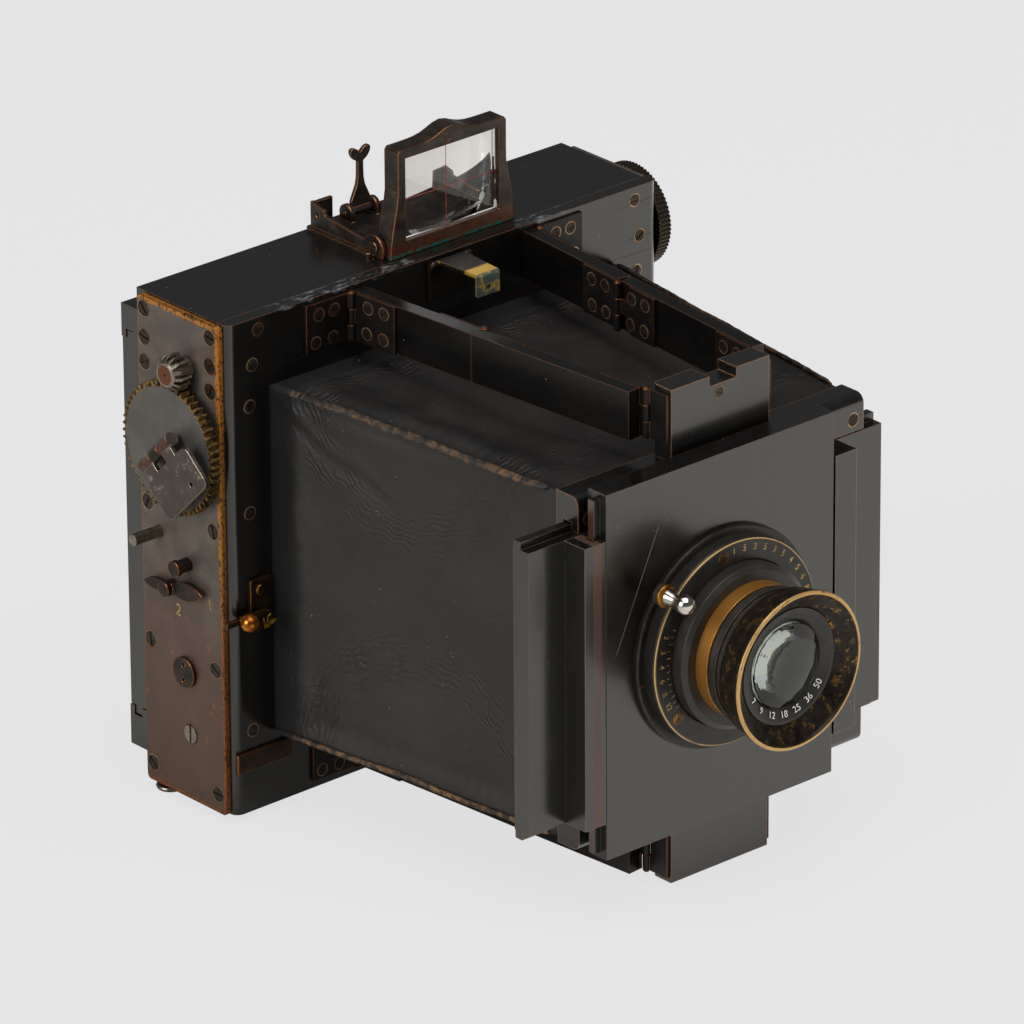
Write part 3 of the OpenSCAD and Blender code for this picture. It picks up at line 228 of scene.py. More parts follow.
def case_top_marks(tree, place, colour, rough):
    """A painted highlight in pale streaks along the top front edge of the case beside the finder, and fine
    cracks from the right screws.
    """
    colour, rough = dust(tree, place, colour, rough)
    x, y, z = (add(tree, axis, place) for axis in "XYZ")
    # Painted highlight: pale, scratch-like streaks along the top front edge of the case, to either side of
    # the finder
    patch = add(tree, "times", near(tree, y, FORE + 2.0, 1.5, 3.0), add(tree, "ease", z, 163.5, 164.8))
    side = add(tree, "most", *(near(tree, x, *reach) for reach in EDGE_HIGHLIGHT_SPANS))
    highlight_streaks = add(tree, "ease", cloud(tree, place, 1.6, 6.0, (3, 1, 1), 0.75), 0.5, 0.64, 0.0, 0.7)
    colour = add(tree, "paint", add(tree, "times", add(tree, "times", patch, side), highlight_streaks), colour,
                 "#8f949e")
    on_face = add(tree, "ease", y, FORE + 1.0, FORE + 0.4)
    wander = add(tree, "times", cloud(tree, place, 7.0, 2.0), 2.2)
    cracks = 0.0
    for height, start in CRACKS:
        line = near(tree, add(tree, "minus", z, wander), height - 1.1, 0.08, 0.16)
        line = add(tree, "times", line, add(tree, "ease", x, start, start + 2.0))
        cracks = add(tree, "most", line, cracks)
    cracks = add(tree, "times", cracks, on_face)
    return add(tree, "paint", cracks, colour, "#020202"), add(tree, "most", rough, cracks)


BOARD_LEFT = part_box("lens_board")[0][0] / MM
GLUE_JOINT = 19.8
# A point on the long scratch of the lens board, and the direction across it, both in X and Z
SCRATCH_SPOT = (-50.7, 92.2)
SCRATCH_ACROSS = (-0.909, 0.417)


def board_joint(tree, place, colour, rough):
    """The glue joint of the lens board, its one long scratch, and its bare brown left edge."""
    colour, rough = dust(tree, place, colour, rough)
    x = add(tree, "X", place)
    joint = add(tree, "times", near(tree, x, GLUE_JOINT, 0.06, 0.12), 0.8)
    colour = add(tree, "paint", joint, colour, "#020202")
    z = add(tree, "Z", place)
    aside = add(tree, "plus", add(tree, "times", add(tree, "minus", x, SCRATCH_SPOT[0]), SCRATCH_ACROSS[0]),
                add(tree, "times", add(tree, "minus", z, SCRATCH_SPOT[1]), SCRATCH_ACROSS[1]))
    long_scratch = add(tree, "times", near(tree, aside, 0.0, 0.04, 0.09), near(tree, z, 109.3, 17.1, 3.0))
    colour = add(tree, "paint", add(tree, "times", long_scratch, 0.45), colour, "#b0aca6")
    bare = add(tree, "times", add(tree, "ease", x, BOARD_LEFT + 0.3, BOARD_LEFT + 0.1), 0.8)
    return add(tree, "paint", bare, colour, "#4a3022"), rough


def rail_edges(tree, place, colour, rough):
    """Guide rails: the wood shows red brown on the faces turned to the lens board."""
    colour, rough = dust(tree, place, colour, rough)
    x = add(tree, "X", place)
    strip = add(tree, "times", near(tree, x, BOARD_LEFT - 1.2, 1.6, 0.3),
                add(tree, "ease", cloud(tree, place, 6.0, 5.0, (1, 1, 6)), 0.35, 0.55, 0.55, 0.95))
    return add(tree, "paint", strip, colour, "#4f3225"), add(tree, "most", rough, strip)


def polished_wood(name, edge, marks=dust, scratch=0.2, stretch=(1, 1, 5), **changed):
    """Ebonised pear wood, French polished: near black under a clear gloss, brown at its rubbed edges."""
    looks = dict(skin="#0a0908", skin_alt="#100d0b", bare="#6b4426", coat=1.0)
    looks.update(changed)
    return worn_finish(name, metal=(0.0, 0.0), rough=(0.3, 0.6), edge=edge, scratch=scratch,
                       scratch_colour="#4a453f", grain=(1.2, 0.01), stretch=stretch, marks=marks, **looks)


ebonised_wood = polished_wood("ebonised_pear_wood", (0.45, 0.3))
front_wood = polished_wood("ebonised_case_front", (0.5, 0.3), case_top_marks)
board_wood = polished_wood("ebonised_lens_board", (0.4, 0.25), board_joint, 0.3)
rail_wood = polished_wood("ebonised_guide_rails", (0.5, 0.38), rail_edges, 0.3, (1, 1, 6), bare="#7d6a5b")
# The bars are handled and have lost most of their gloss, and the standard is rubbed to lighter wood
strut_wood = polished_wood("ebonised_strut_wood", (0.45, 0.4), stretch=(1, 5, 1), skin="#080707", coat=0.3,
                           shine=0.3)
ebonised_rough = polished_wood("ebonised_wood_rubbed", (0.75, 0.5), scratch=0.3, stretch=(1, 1, 6),
                               bare="#8a5a34")


def plate_ageing(tree, place, colour, rough):
    """End plate: browner and stained low down, a little green in the middle, rubbed to gold round its rim."""
    x, y, z = (add(tree, axis, place) for axis in "XYZ")
    breakup = cloud(tree, place, 1.1, 6.0, (1, 1, 1.8), 0.75)
    low = add(tree, "ease", z, 100.0, 20.0)
    colour = add(tree, "paint", add(tree, "times", low, 0.75), colour, "#573b2b")
    stain = add(tree, "times", add(tree, "ease", cloud(tree, place, 5.0, 6.0, (1, 1, 2), 0.7), 0.6, 0.68),
                add(tree, "ease", z, 85.0, 60.0, 0.0, 0.7))
    colour = add(tree, "paint", stain, colour, "#9a5a26")
    green = add(tree, "times", add(tree, "ease", cloud(tree, place, 4.0, 6.0, rough=0.75), 0.5, 0.62),
                add(tree, "times", near(tree, z, 88.0, 6.0, 16.0), add(tree, "ease", y, -2.0, -12.0)))
    colour = add(tree, "paint", add(tree, "times", green, 0.55), colour, "#5a6a58")
    front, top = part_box("left_plate")[0][1] / MM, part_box("left_plate")[1][2] / MM
    ragged = add(tree, "times", add(tree, "minus", breakup, 0.5), 2.6)
    wide = add(tree, "ease", z, 55.0, 100.0, 0.9, 1.7)
    band = add(tree, "below", add(tree, "plus", add(tree, "minus", y, front), ragged), wide)
    over = add(tree, "above", add(tree, "plus", z, add(tree, "times", ragged, 0.8)), top - 1.7)
    under = add(tree, "below", add(tree, "plus", z, ragged), 1.2)
    rubbed = add(tree, "times", add(tree, "most", add(tree, "most", band, over), under),
                 add(tree, "ease", x, 0.0, -1.0))
    gold = add(tree, "paint", add(tree, "ease", z, 40.0, 120.0), "#8a4c20", "#b8772a")
    gold = add(tree, "paint", add(tree, "ease", cloud(tree, place, 0.8, 4.0, (1, 1, 1.6)), 0.5, 0.62), gold,
               "#3c2412")
    colour = add(tree, "paint", add(tree, "times", rubbed, 0.92), colour, gold)
    return colour, add(tree, "minus", rough, add(tree, "times", rubbed, 0.06))


def verdigris(tree, place, colour, rough):
    """Copper brown low on the finder, with green in its foot."""
    y, z = add(tree, "Y", place), add(tree, "Z", place)
    low = add(tree, "ease", z, 173.0, 166.5)
    rust = add(tree, "times", low, add(tree, "ease", cloud(tree, place, 2.0, 6.0, rough=0.75), 0.4, 0.58))
    rust = add(tree, "times", rust, add(tree, "ease", y, FORE + 10.5, FORE + 8.0))
    colour = add(tree, "paint", add(tree, "times", rust, 0.8), colour, "#7a3c1d")
    foot = add(tree, "times", add(tree, "ease", z, 166.9, 166.2),
               add(tree, "ease", cloud(tree, place, 1.6, 5.0, rough=0.7), 0.44, 0.56))
    foot = add(tree, "times", foot, add(tree, "ease", y, FORE + 8.0, FORE + 6.4))
    return (add(tree, "paint", foot, colour, "#11665a"), add(tree, "most", rough,
                                                             add(tree, "times", foot, 0.8)))


def gear_rim(tree, place, colour, rough):
    """Bright brass between the teeth on the rim of the winding gear."""
    low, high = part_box("winding_gear")
    reach = (high[2] - low[2]) / 2 / MM
    far = off_axis(tree, place, "YZ", middle_of("winding_gear"))
    rim = add(tree, "ease", far, reach - 2.0, reach - 1.6)
    shade = add(tree, "ease", cloud(tree, place, 1.8, 5.0), 0.36, 0.6)
    colour = add(tree, "paint", rim, colour, add(tree, "paint", shade, "#3a3222", "#8a6a38"))
    tint = add(tree, "times", add(tree, "ease", cloud(tree, place, 9.0, 3.0), 0.58, 0.7), 0.3)
    return add(tree, "paint", tint, colour, "#6a5230"), rough


def key_rust(tree, place, colour, rough):
    """The barrel of the key is red brown."""
    x = add(tree, "X", place)
    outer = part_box("winding_key")[0][0] / MM
    red = add(tree, "times", add(tree, "ease", x, outer + 0.75, outer + 0.45),
              add(tree, "ease", cloud(tree, place, 2.5, 5.0), 0.4, 0.6, 0.3, 0.9))
    return add(tree, "paint", red, colour, "#5a2a20"), rough


def brown_end(tree, place, colour, rough):
    """The brown disc in the end of the winding pinion, with a dark point in its middle."""
    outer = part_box("pinion")[0][0] / MM
    far = off_axis(tree, place, "YZ", middle_of("pinion"))
    disc = add(tree, "times", add(tree, "ease", far, 3.3, 3.1),
               add(tree, "ease", add(tree, "X", place), outer + 1.2, outer + 0.8))
    colour = add(tree, "paint", disc, colour, "#7a5236")
    middle = add(tree, "times", disc, add(tree, "ease", far, 0.5, 0.35))
    return add(tree, "paint", middle, colour, "#100c0a"), rough


# Lens: its axis, the rims that are turned bright, and its bore
LENS_X = (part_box("lens_board")[0][0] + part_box("lens_board")[1][0]) / 2 / MM
LENS_Z = 84.5
SCALE_R, HOOD_R = ((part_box(node)[1][0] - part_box(node)[0][0]) / 2 / MM
                   for node in ("scale_plate", "lens_hood"))
HOOD_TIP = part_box("lens_hood")[0][1] / MM
BORE_R = 16.3


def gilt_rim(tree, place, colour, rough):
    """A thin gilt line engraved just inside the rim of the scale plate."""
    line = near(tree, off_axis(tree, place, "XZ", (LENS_X, LENS_Z)), SCALE_R - 0.45, 0.1, 0.1)
    worn = add(tree, "ease", cloud(tree, place, 7.0, 4.0), 0.3, 0.45, 0.45, 1.0)
    return add(tree, "paint", add(tree, "times", line, worn), colour, "#cfab70"), rough


def hood_rim(tree, place, colour, rough):
    """The front rim of the hood is rubbed to bare brass, and its inside is dull."""
    out = off_axis(tree, place, "XZ", (LENS_X, LENS_Z))
    y = add(tree, "Y", place)
    rim = add(tree, "times", add(tree, "ease", out, HOOD_R - 1.15, HOOD_R - 1.0),
              add(tree, "ease", y, HOOD_TIP + 0.75, HOOD_TIP + 0.4))
    breaks = add(tree, "ease", cloud(tree, place, 1.3, 5.0), 0.58, 0.68, 1.0, 0.45)
    colour = add(tree, "paint", add(tree, "times", rim, breaks), colour, "#c9a063")
    inside = add(tree, "ease", out, HOOD_R - 1.5, HOOD_R - 1.8)
    inside = add(tree, "times", inside, add(tree, "ease", cloud(tree, place, 2.0, 5.0), 0.5, 0.4))
    return add(tree, "paint", inside, colour, "#15110e"), rough


def dark_bore(tree, place, colour, rough):
    """The inside of the barrel is blackened and dull, so that it stays dark behind the glass."""
    inside = add(tree, "ease", off_axis(tree, place, "XZ", (LENS_X, LENS_Z)), BORE_R + 0.1, BORE_R - 0.1)
    return add(tree, "paint", inside, colour, "#050505"), add(tree, "most", rough, inside)


def ball_and_corner(tree, place, colour, rough):
    """The ball of the release lever is polished by use, and so is the front corner of its bracket."""
    x, y, z = (add(tree, axis, place) for axis in "XYZ")
    ball = add(tree, "times", add(tree, "ease", y, FORE - 3.3, FORE - 3.6),
               add(tree, "ease", x, -81.0, -81.6))
    orange = add(tree, "paint", add(tree, "ease", cloud(tree, place, 2.2, 4.0), 0.4, 0.62), "#c07a22",
                 "#8a4a18")
    colour = add(tree, "paint", ball, colour, orange)
    corner = add(tree, "times", add(tree, "ease", x, -76.2, -75.4), add(tree, "ease", z, 65.6, 64.6))
    worn = add(tree, "ease", cloud(tree, place, 1.6, 4.0), 0.38, 0.5)
    colour = add(tree, "paint", add(tree, "times", corner, worn), colour, "#d8a832")
    return colour, add(tree, "minus", rough, add(tree, "times", ball, 0.16))


def hook_end(tree, place, colour, rough):
    """The hook of the catch is rubbed to yellow brass, with green in its face."""
    far = add(tree, "Y", place)
    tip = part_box("catch_hook")[0][1] / MM
    bright = add(tree, "ease", far, tip + 6.5, tip + 5.0)
    colour = add(tree, "paint", bright, colour, "#d2a848")
    face = add(tree, "times", add(tree, "ease", far, tip + 1.3, tip + 0.5),
               add(tree, "ease", cloud(tree, place, 2.5, 5.0), 0.3, 0.5))
    return add(tree, "paint", face, colour, "#52605a"), rough


# Chemically blackened brass sheet and castings: grey brown to black, with copper and gold on handled edges
blackened_plate = worn_finish("blackened_brass_plate", "#5c534c", "#6e645c", "#c4843a", (0.5, 1.0),
                              (0.46, 0.36), (0.9, 0.75), (0.08, 16.0), 0.5, "#8a5a34", (0.9, 0.02),
                              marks=plate_ageing)
blackened_brass = worn_finish("blackened_brass", "#241d17", "#3c2f25", "#b06c3a", rough=(0.42, 0.34),
                              edge=(0.5, 0.62), patch=(0.15, 6.0), scratch=0.4, grain=(0.7, 0.02))
finder_brass = worn_finish("blackened_finder_brass", "#2b2521", "#463c34", "#b87a4a", rough=(0.4, 0.32),
                           edge=(0.65, 0.85), patch=(0.12, 6.0), scratch=0.4, grain=(0.7, 0.02),
                           marks=verdigris)
# Machined gear and key: the flat faces are even and grey, the key is worn to bright metal in patches
gear_steel = worn_finish("blackened_gear_brass", "#5d5a56", "#6a6661", "#b58a48", rough=(0.42, 0.36),
                         edge=(0.45, 0.5), patch=(0.0, 12.0), scratch_colour="#8d8272", grain=(0.7, 0.012),
                         marks=gear_rim)
key_steel = worn_finish("worn_key_steel", "#4a413c", "#574d47", "#ab9d8b", rough=(0.4, 0.32),
                        edge=(0.6, 0.75), patch=(0.78, 6.0), scratch=0.5, grain=(0.7, 0.03), marks=key_rust)
# Nickel plate: greyed and worn brown on the shafts, still mirror bright on the knob of the focusing lever
dull_nickel = worn_finish("dull_nickel", "#a39b8f", "#7d746a", "#5e4227", (1.0, 1.0), (0.34, 0.5), (0.4, 0.2),
                          (0.7, 3.0), grain=(0.5, 0.01), marks=brown_end)
bright_nickel = worn_finish("polished_nickel", "#d8d4cc", "#c4beb4", "#8a6f4c", (1.0, 1.0), (0.2, 0.3),
                            (0.3, 0.1), scratch=0.2, grain=(0.5, 0.005))
# Black lacquer on turned brass: smooth, half glossy, thin at its rims
black_lacquer = worn_finish("black_lacquered_brass", "#1d1b19", "#272422", "#b8833e", (0.3, 1.0),
                            (0.36, 0.34), (0.4, 0.12), (0.04, 6.0), 0.0, grain=(0.5, 0.01))
scale_black = worn_finish("black_scale_plate", "#2a2826", "#33312e", "#b8833e", (0.4, 1.0), (0.36, 0.3),
                          (0.3, 0.45), (0.03, 6.0), 0.0, grain=(0.5, 0.01), marks=gilt_rim)
ring_black = worn_finish("black_focus_ring", "#33312f", "#3b3936", "#a8763a", (0.4, 1.0), edge=(0.3, 0.2),
                         patch=(0.02, 6.0), scratch=0.0, grain=(0.5, 0.01))
hood_lacquer = worn_finish("rubbed_hood_lacquer", "#1f1812", "#33281d", "#96713a", (0.5, 1.0), (0.36, 0.34),
                           (0.8, 0.6), (0.84, 3.2), 0.0, grain=(0.4, 0.02), marks=hood_rim)
# Lacquered brass, turned on the lathe: golden, with fine rings drawn round it
turned_brass = worn_finish("turned_brass", "#d09040", "#a87434", "#e8b45c", (0.72, 0.72), (0.36, 0.3),
                           (0.4, 0.2), scratch=0.2, scratch_colour="#5a3c18", grain=(0.35, 0.02),
                           stretch=(30, 1, 30), marks=dark_bore)
# Bronze and brass darkened by handling: dull brown, brighter where a finger or a part slides
knob_bronze = worn_finish("dark_knob_bronze", "#1a1613", "#2b241e", "#7a6a55", rough=(0.4, 0.4),
                          edge=(0.5, 0.4), patch=(0.1, 5.0))
bronze_edged = worn_finish("dark_bronze_strip", "#33261c", "#4a3222", "#b06f3a", edge=(0.9, 0.85),
                           patch=(0.22, 5.0), scratch=0.4)
release_bronze = worn_finish("handled_bronze", "#2c2218", "#46361f", "#a87434", (0.8, 1.0), (0.38, 0.3),
                             (0.5, 0.6), (0.2, 5.0), 0.4, "#3a2a1c", marks=ball_and_corner)
old_brass = worn_finish("handled_brass", "#6e4a1f", "#a2722f", "#d0a050", (1.0, 1.0), (0.4, 0.3), (0.5, 0.5),
                        (0.2, 5.0), 0.4, "#3a2a1c")
catch_brass = worn_finish("catch_strap", "#161310", "#1f1a15", "#c29a45", (0.5, 1.0), (0.42, 0.3), (0.4, 0.3),
                          grain=(0.5, 0.01), marks=hook_end)
# Japanned iron: baked black varnish, warm brown where it is knocked off the edges
japanned_iron = worn_finish("black_japanned_hinge", "#0f0d0b", "#1a1612", "#94572f", (0.2, 1.0), (0.4, 0.42),
                            (0.5, 0.55), (0.12, 5.0))


def clear_glass(name, tint):
    """Optical crown glass: clear, with a faint tint and sharp reflections."""
    material, tree = new_material(name)
    shader = add(tree, "BsdfPrincipled", {"Base Color": tint, "Roughness": 0.02, "IOR": 1.5,
                                          "Transmission Weight": 1.0})
    add(tree, "OutputMaterial", {"Surface": shader}, out=None)
    return material


finder_crown = clear_glass("finder_glass", "#fbfcfb")
lens_crown = clear_glass("lens_glass", "#b4bcb6")

# Wrinkles on the sides of the bag: middle of their arcs in Y and Z, radius, half the band, and pitch
WRINKLE_FANS = (((FORE - 55.0, 152.0), 43.0, 8.0, 2.1), ((FORE - 62.0, 20.0), 46.0, 7.0, 2.3))


def wrinkle_fan(tree, place, middle, reach, half, pitch):
    """Fine parallel wrinkles bent round a middle place in Y and Z, on the sides of the bag."""
    far = off_axis(tree, place, "YZ", middle)
    wavy = add(tree, "plus", far, add(tree, "times", cloud(tree, place, 9.0, 3.0), 10.0))
    ridges = add(tree, "wave", add(tree, "times", wavy, 2 * math.pi / pitch))
    inside = near(tree, far, reach, half * 0.6, half)
    broken = add(tree, "ease", cloud(tree, place, 8.0, 3.0), 0.36, 0.56)
    return add(tree, "times", add(tree, "times", ridges, inside), broken)


def goat_leather(name, scuff, scuff_low, scuff_high):
    """Thin blackened goat leather: matt, finely grained, wrinkled at the folds, dusty and scuffed brown, with
    painted shade darkening its top and its rear end next to the case.
    """
    material, tree = new_material(name)
    place = millimetres(tree)
    wide = cloud(tree, place, 24.0, 5.0)
    colour = add(tree, "paint", add(tree, "ease", wide, 0.35, 0.7), "#211d1a", "#2b2622")
    chafed = add(tree, "ease", cloud(tree, place, 2.5, 6.0, rough=0.7), scuff_low, scuff_high, 0.0, 0.8)
    colour = add(tree, "paint", chafed, colour, scuff)
    # Painted shade: the leather is painted near black, and made rougher, over its last few millimetres next
    # to the case, with a ragged edge
    y = add(tree, "Y", place)
    ragged = add(tree, "times", cloud(tree, place, 7.0, 5.0), 9.0)
    painted_rear_shade = add(tree, "ease", add(tree, "plus", y, ragged), FORE - 10.0, FORE - 3.0, 0.0, 0.94)
    colour = add(tree, "paint", painted_rear_shade, colour, "#070606")
    # Painted shade: the top of the bag is painted darker in cloudy patches
    z = add(tree, "Z", place)
    above = add(tree, "times", add(tree, "ease", z, 137.0, 140.5),
                add(tree, "ease", cloud(tree, place, 16.0, 4.0), 0.3, 0.6, 0.9, 0.35))
    colour = add(tree, "paint", above, colour, "#0d0b0b")
    motes = add(tree, "most", add(tree, "times", specks(tree, place, 4.0, 0.34, 0.3), 0.5),
                add(tree, "times", specks(tree, place, 1.7, 0.22, 0.06), 0.5))
    colour = add(tree, "paint", motes, colour, "#8f8a84")
    # The pores of goat leather are finer than this; they are drawn 0.7 mm wide so that they show
    fine = add(tree, "TexVoronoi", {"Vector": place, "Scale": 1 / 0.7}, out="Distance",
               feature="DISTANCE_TO_EDGE")
    pores = add(tree, "ease", fine, 0.0, 0.25)
    fans = add(tree, "plus", *(wrinkle_fan(tree, place, *fan) for fan in WRINKLE_FANS))
    soft = cloud(tree, place, 3.2, 5.0, (1, 3, 1))
    relief = add(tree, "plus", add(tree, "times", pores, 0.06), add(tree, "times", soft, 0.8))
    relief = add(tree, "plus", relief, add(tree, "times", fans, 0.42))
    bump = add(tree, "Bump", {"Height": relief, "Distance": 0.3 * MM, "Strength": 0.8})
    rough = add(tree, "most", add(tree, "ease", wide, 0.3, 0.7, 0.5, 0.64), painted_rear_shade)
    shader = add(tree, "BsdfPrincipled", {"Base Color": colour, "Roughness": rough, "Normal": bump,
                                          "Specular IOR Level": 0.45})
    add(tree, "OutputMaterial", {"Surface": shader}, out=None)
    return material


leather = goat_leather("goat_leather", "#3b2f27", 0.6, 0.78)
seam_leather = goat_leather("scuffed_seam_leather", "#7c5a36", 0.42, 0.62)


def plain(name, colour, alt, rough, metal=0.0, grain=0.5, depth=0.02):
    """A simple finish that drifts between two colours, with a slight unevenness."""
    material, tree = new_material(name)
    place = millimetres(tree)
    shade = add(tree, "paint", add(tree, "ease", cloud(tree, place, grain * 4), 0.35, 0.65), colour, alt)
    bump = add(tree, "Bump", {"Height": cloud(tree, place, grain), "Distance": depth * MM})
    shader = add(tree, "BsdfPrincipled", {"Base Color": shade, "Roughness": rough, "Metallic": metal,
                                          "Normal": bump})
    add(tree, "OutputMaterial", {"Surface": shader}, out=None)
    return material


# Small metal: bright copper rubbed round the screw holes, dark and brass screws.
# Paint in engraved figures: flat, dull and a little chipped
copper_rim = plain("rubbed_copper_rim", "#8a5c3a", "#b39a78", 0.4, 0.8, 1.2)
screw_black = plain("blackened_screw", "#241e19", "#40342a", 0.42, 0.6)
screw_brass = plain("brass_screw", "#8a6838", "#54402a", 0.38, 1.0)
gilt_paint = plain("gilt_numerals", "#c9a66a", "#96783f", 0.5, 0.4)
white_paint = plain("white_numerals", "#e4e2dc", "#b4b0a6", 0.6)
red_mark = plain("red_index_mark", "#6e3322", "#53261a", 0.6)
# Rubbered silk of the blind, a red thread, and old putty that has gone white and crumbly
blind_cloth = plain("rubberised_blind_cloth", "#0b0b0b", "#0f0e0e", 0.7)
red_thread = plain("red_line", "#a8483c", "#8a3428", 0.6)
glazing_putty = plain("glazing_putty", "#f4f2ea", "#c9c4b6", 0.8, 0.0, 0.8, 0.2)

FINISHES = {
    ebonised_wood: ["case_frame", "gate_board", "back_rail_top", "back_rail_bottom", "plate_holder",
                    "cross_panel"],
    strut_wood: ["left_rear_struts", "left_front_struts", "right_rear_struts", "right_front_struts"],
    front_wood: ["front_board"],
    board_wood: ["lens_board"],
    rail_wood: ["guide_rails"],
    ebonised_rough: ["front_frame", "top_block", "bottom_block"],
    blackened_plate: ["left_plate", "right_plate"],
    blackened_brass: ["selector_stop", "spanner_nut", "winding_arbor", "selector_lever"],
    finder_brass: ["finder_base", "finder_frame", "finder_sight"],
    gear_steel: ["winding_gear"],
    key_steel: ["winding_key"],
    dull_nickel: ["pinion", "upper_roller", "lower_roller", "release_plunger", "strap_studs"],
    knob_bronze: ["tension_knob"],
    black_lacquer: ["lens_flange"],
    scale_black: ["scale_plate"],
    ring_black: ["focus_ring", "iris_ring", "name_ring"],
    hood_lacquer: ["lens_hood"],
    turned_brass: ["lens_barrel"],
    japanned_iron: ["catch_base", "body_hinge_leaves", "left_rear_leaves", "left_front_leaves",
                    "right_rear_leaves", "right_front_leaves", "frame_hinge_leaves", "dark_slide"],
    catch_brass: ["catch_hook"],
    release_bronze: ["release_lever", "release_bracket"],
    bronze_edged: ["stop_strip"],
    old_brass: ["tripod_bush"],
    screw_black: ["plate_screws", "front_screws"],
    blind_cloth: ["shutter_blind"],
    finder_crown: ["finder_glass"],
    lens_crown: ["lens_glass"],
}


def dress(node, material):
    """Gives a solid of the model its finish."""
    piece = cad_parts[node]
    for place in piece.material_slots:
        place.link = "OBJECT"
        place.material = material


for finish, nodes in FINISHES.items():
    for node in nodes:
        dress(node, finish)


def new_piece(name, mesh, body, materials, smooth=True):
    """Puts a mesh on a body of the model, with its materials."""
    piece = bpy.data.objects.new(name, mesh)
    bpy.context.scene.collection.objects.link(piece)
    for material in materials:
        mesh.materials.append(material)
    if smooth:
        mesh.shade_smooth()
    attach(piece, body)
    return piece


def join_rings(bm, rings, material=0):
    """Faces between each ring of points and the next."""
    for a, b in zip(rings, rings[1:]):
        for k in range(len(a)):
            n = (k + 1) % len(a)
            bm.faces.new((a[k], a[n], b[n], b[k])).material_index = material


def close_ends(bm, rings):
    """Faces over the first and the last ring."""
    bm.faces.new(rings[0])
    bm.faces.new(rings[-1][::-1])


def piece_from(bm, name, body, materials, smooth=True, outward=True):
    """Makes the points and faces gathered so far into a piece of its own."""
    if outward:
        bmesh.ops.recalc_face_normals(bm, faces=bm.faces)
    mesh = bpy.data.meshes.new(name)
    bm.to_mesh(mesh)
    bm.free()
    return new_piece(name, mesh, body, materials, smooth)


# Bellows: one leather bag, sewn along its four long edges, standing proud there and drawn in between
BAG_REAR = (71.2, 58.2)
BAG_FRONT = (57.4, 57.2)
BAG_MID_Z = 83.1
BAG_LONG = 117.2
HIDE_THICK = 1.2
LENGTHWISE = 150
ROUND_EACH = 64
ROUND_SEAM = 10


def bulge(value, middle, width):
    """A smooth swelling, 1 at the middle and gone at about twice the width."""
    return math.exp(-((value - middle) / width) ** 2)


def diagonal_crease(down, across):
    """The soft fold that runs down from the upper rear corner of the left side."""
    dy, dz = down * BAG_LONG, across * 58
    run = min(1.0, max(0.0, (dy - 2) / 50))
    line = 52 - 30 * run + 9 * run * run + 1.2 * math.sin(dy * 0.21)
    fade = min(1.0, dy / 6) * min(1.0, max(0.0, (54 - dy) / 16))
    return (-0.9 * bulge(dz, line, 2.0) + 0.6 * bulge(dz, line + 4.2, 2.6)) * fade


def bag_point(side, across, down):
    """A point of the bag: side 0 to 3, across from -1 to 1 on that side, down from 0 rear to 1 front."""
    half_w = BAG_REAR[0] + (BAG_FRONT[0] - BAG_REAR[0]) * down
    half_h = BAG_REAR[1] + (BAG_FRONT[1] - BAG_REAR[1]) * down
    normal = (Vector((-1, 0, 0)), Vector((0, 0, 1)), Vector((1, 0, 0)), Vector((0, 0, -1)))[side]
    tangent = (Vector((0, 0, 1)), Vector((1, 0, 0)), Vector((0, 0, -1)), Vector((-1, 0, 0)))[side]
    reach, half = (half_w, half_h) if side % 2 == 0 else (half_h, half_w)
    held = math.sin(math.pi * min(1.0, max(0.0, down))) ** 0.6
    edge = (1 - abs(across)) * half
    free = 1 - math.exp(-(edge / 4.0) ** 2)
    depth = down * BAG_LONG
    low = noise.noise(Vector((side * 7.3 + across * 1.6, down * 2.1, 3.1)))
    mid = noise.noise(Vector((side * 5.1 + across * 4.5, down * 3.0 + across * 0.8, 9.4)))
    out = -2.0 * (1 - across * across) * held + (1.5 * low + 0.55 * mid) * held * free
    out -= 1.5 * bulge(depth, 4.5, 3.0) * free - 0.5 * bulge(depth, 11.0, 4.0) * free
    gathers = math.sin(depth * 1.35 + 6 * noise.noise(Vector((side + 0.5, down * 6, across * 3))))
    strength = 0.28 * math.exp(-(edge / 10.0) ** 2) * (0.25 + 0.75 * bulge(down, 0.86, 0.16))
    out += gathers * strength * held * free
    if side == 0:
        out += diagonal_crease(down, across)
        out += 0.7 * bulge(edge if across > 0 else 99, 5.5, 2.6) * held
        out -= 0.7 * bulge(edge if across < 0 else 99, 7.5, 3.0) * held
    if side % 2:
        folds = noise.noise(Vector((across * 7.0, down * 1.3 + 0.7 * across, side * 4.0)))
        out += 1.2 * folds * held * free
        out += 1.1 * bulge(edge, 9.0, 3.5) * held - 0.9 * bulge(edge, 4.0, 2.2) * held
    slip = noise.noise(Vector((side * 11, down * 5.0, across * 1.5))) * 0.8 * held
    place = normal * (reach + out) + tangent * (across * half)
    return at(place.x, -BAG_LONG * down, place.z + BAG_MID_Z + (slip if side % 2 else 0))


def squash_with_fold(piece):
    """Gives the piece its own copy of its mesh."""
    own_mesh(piece)


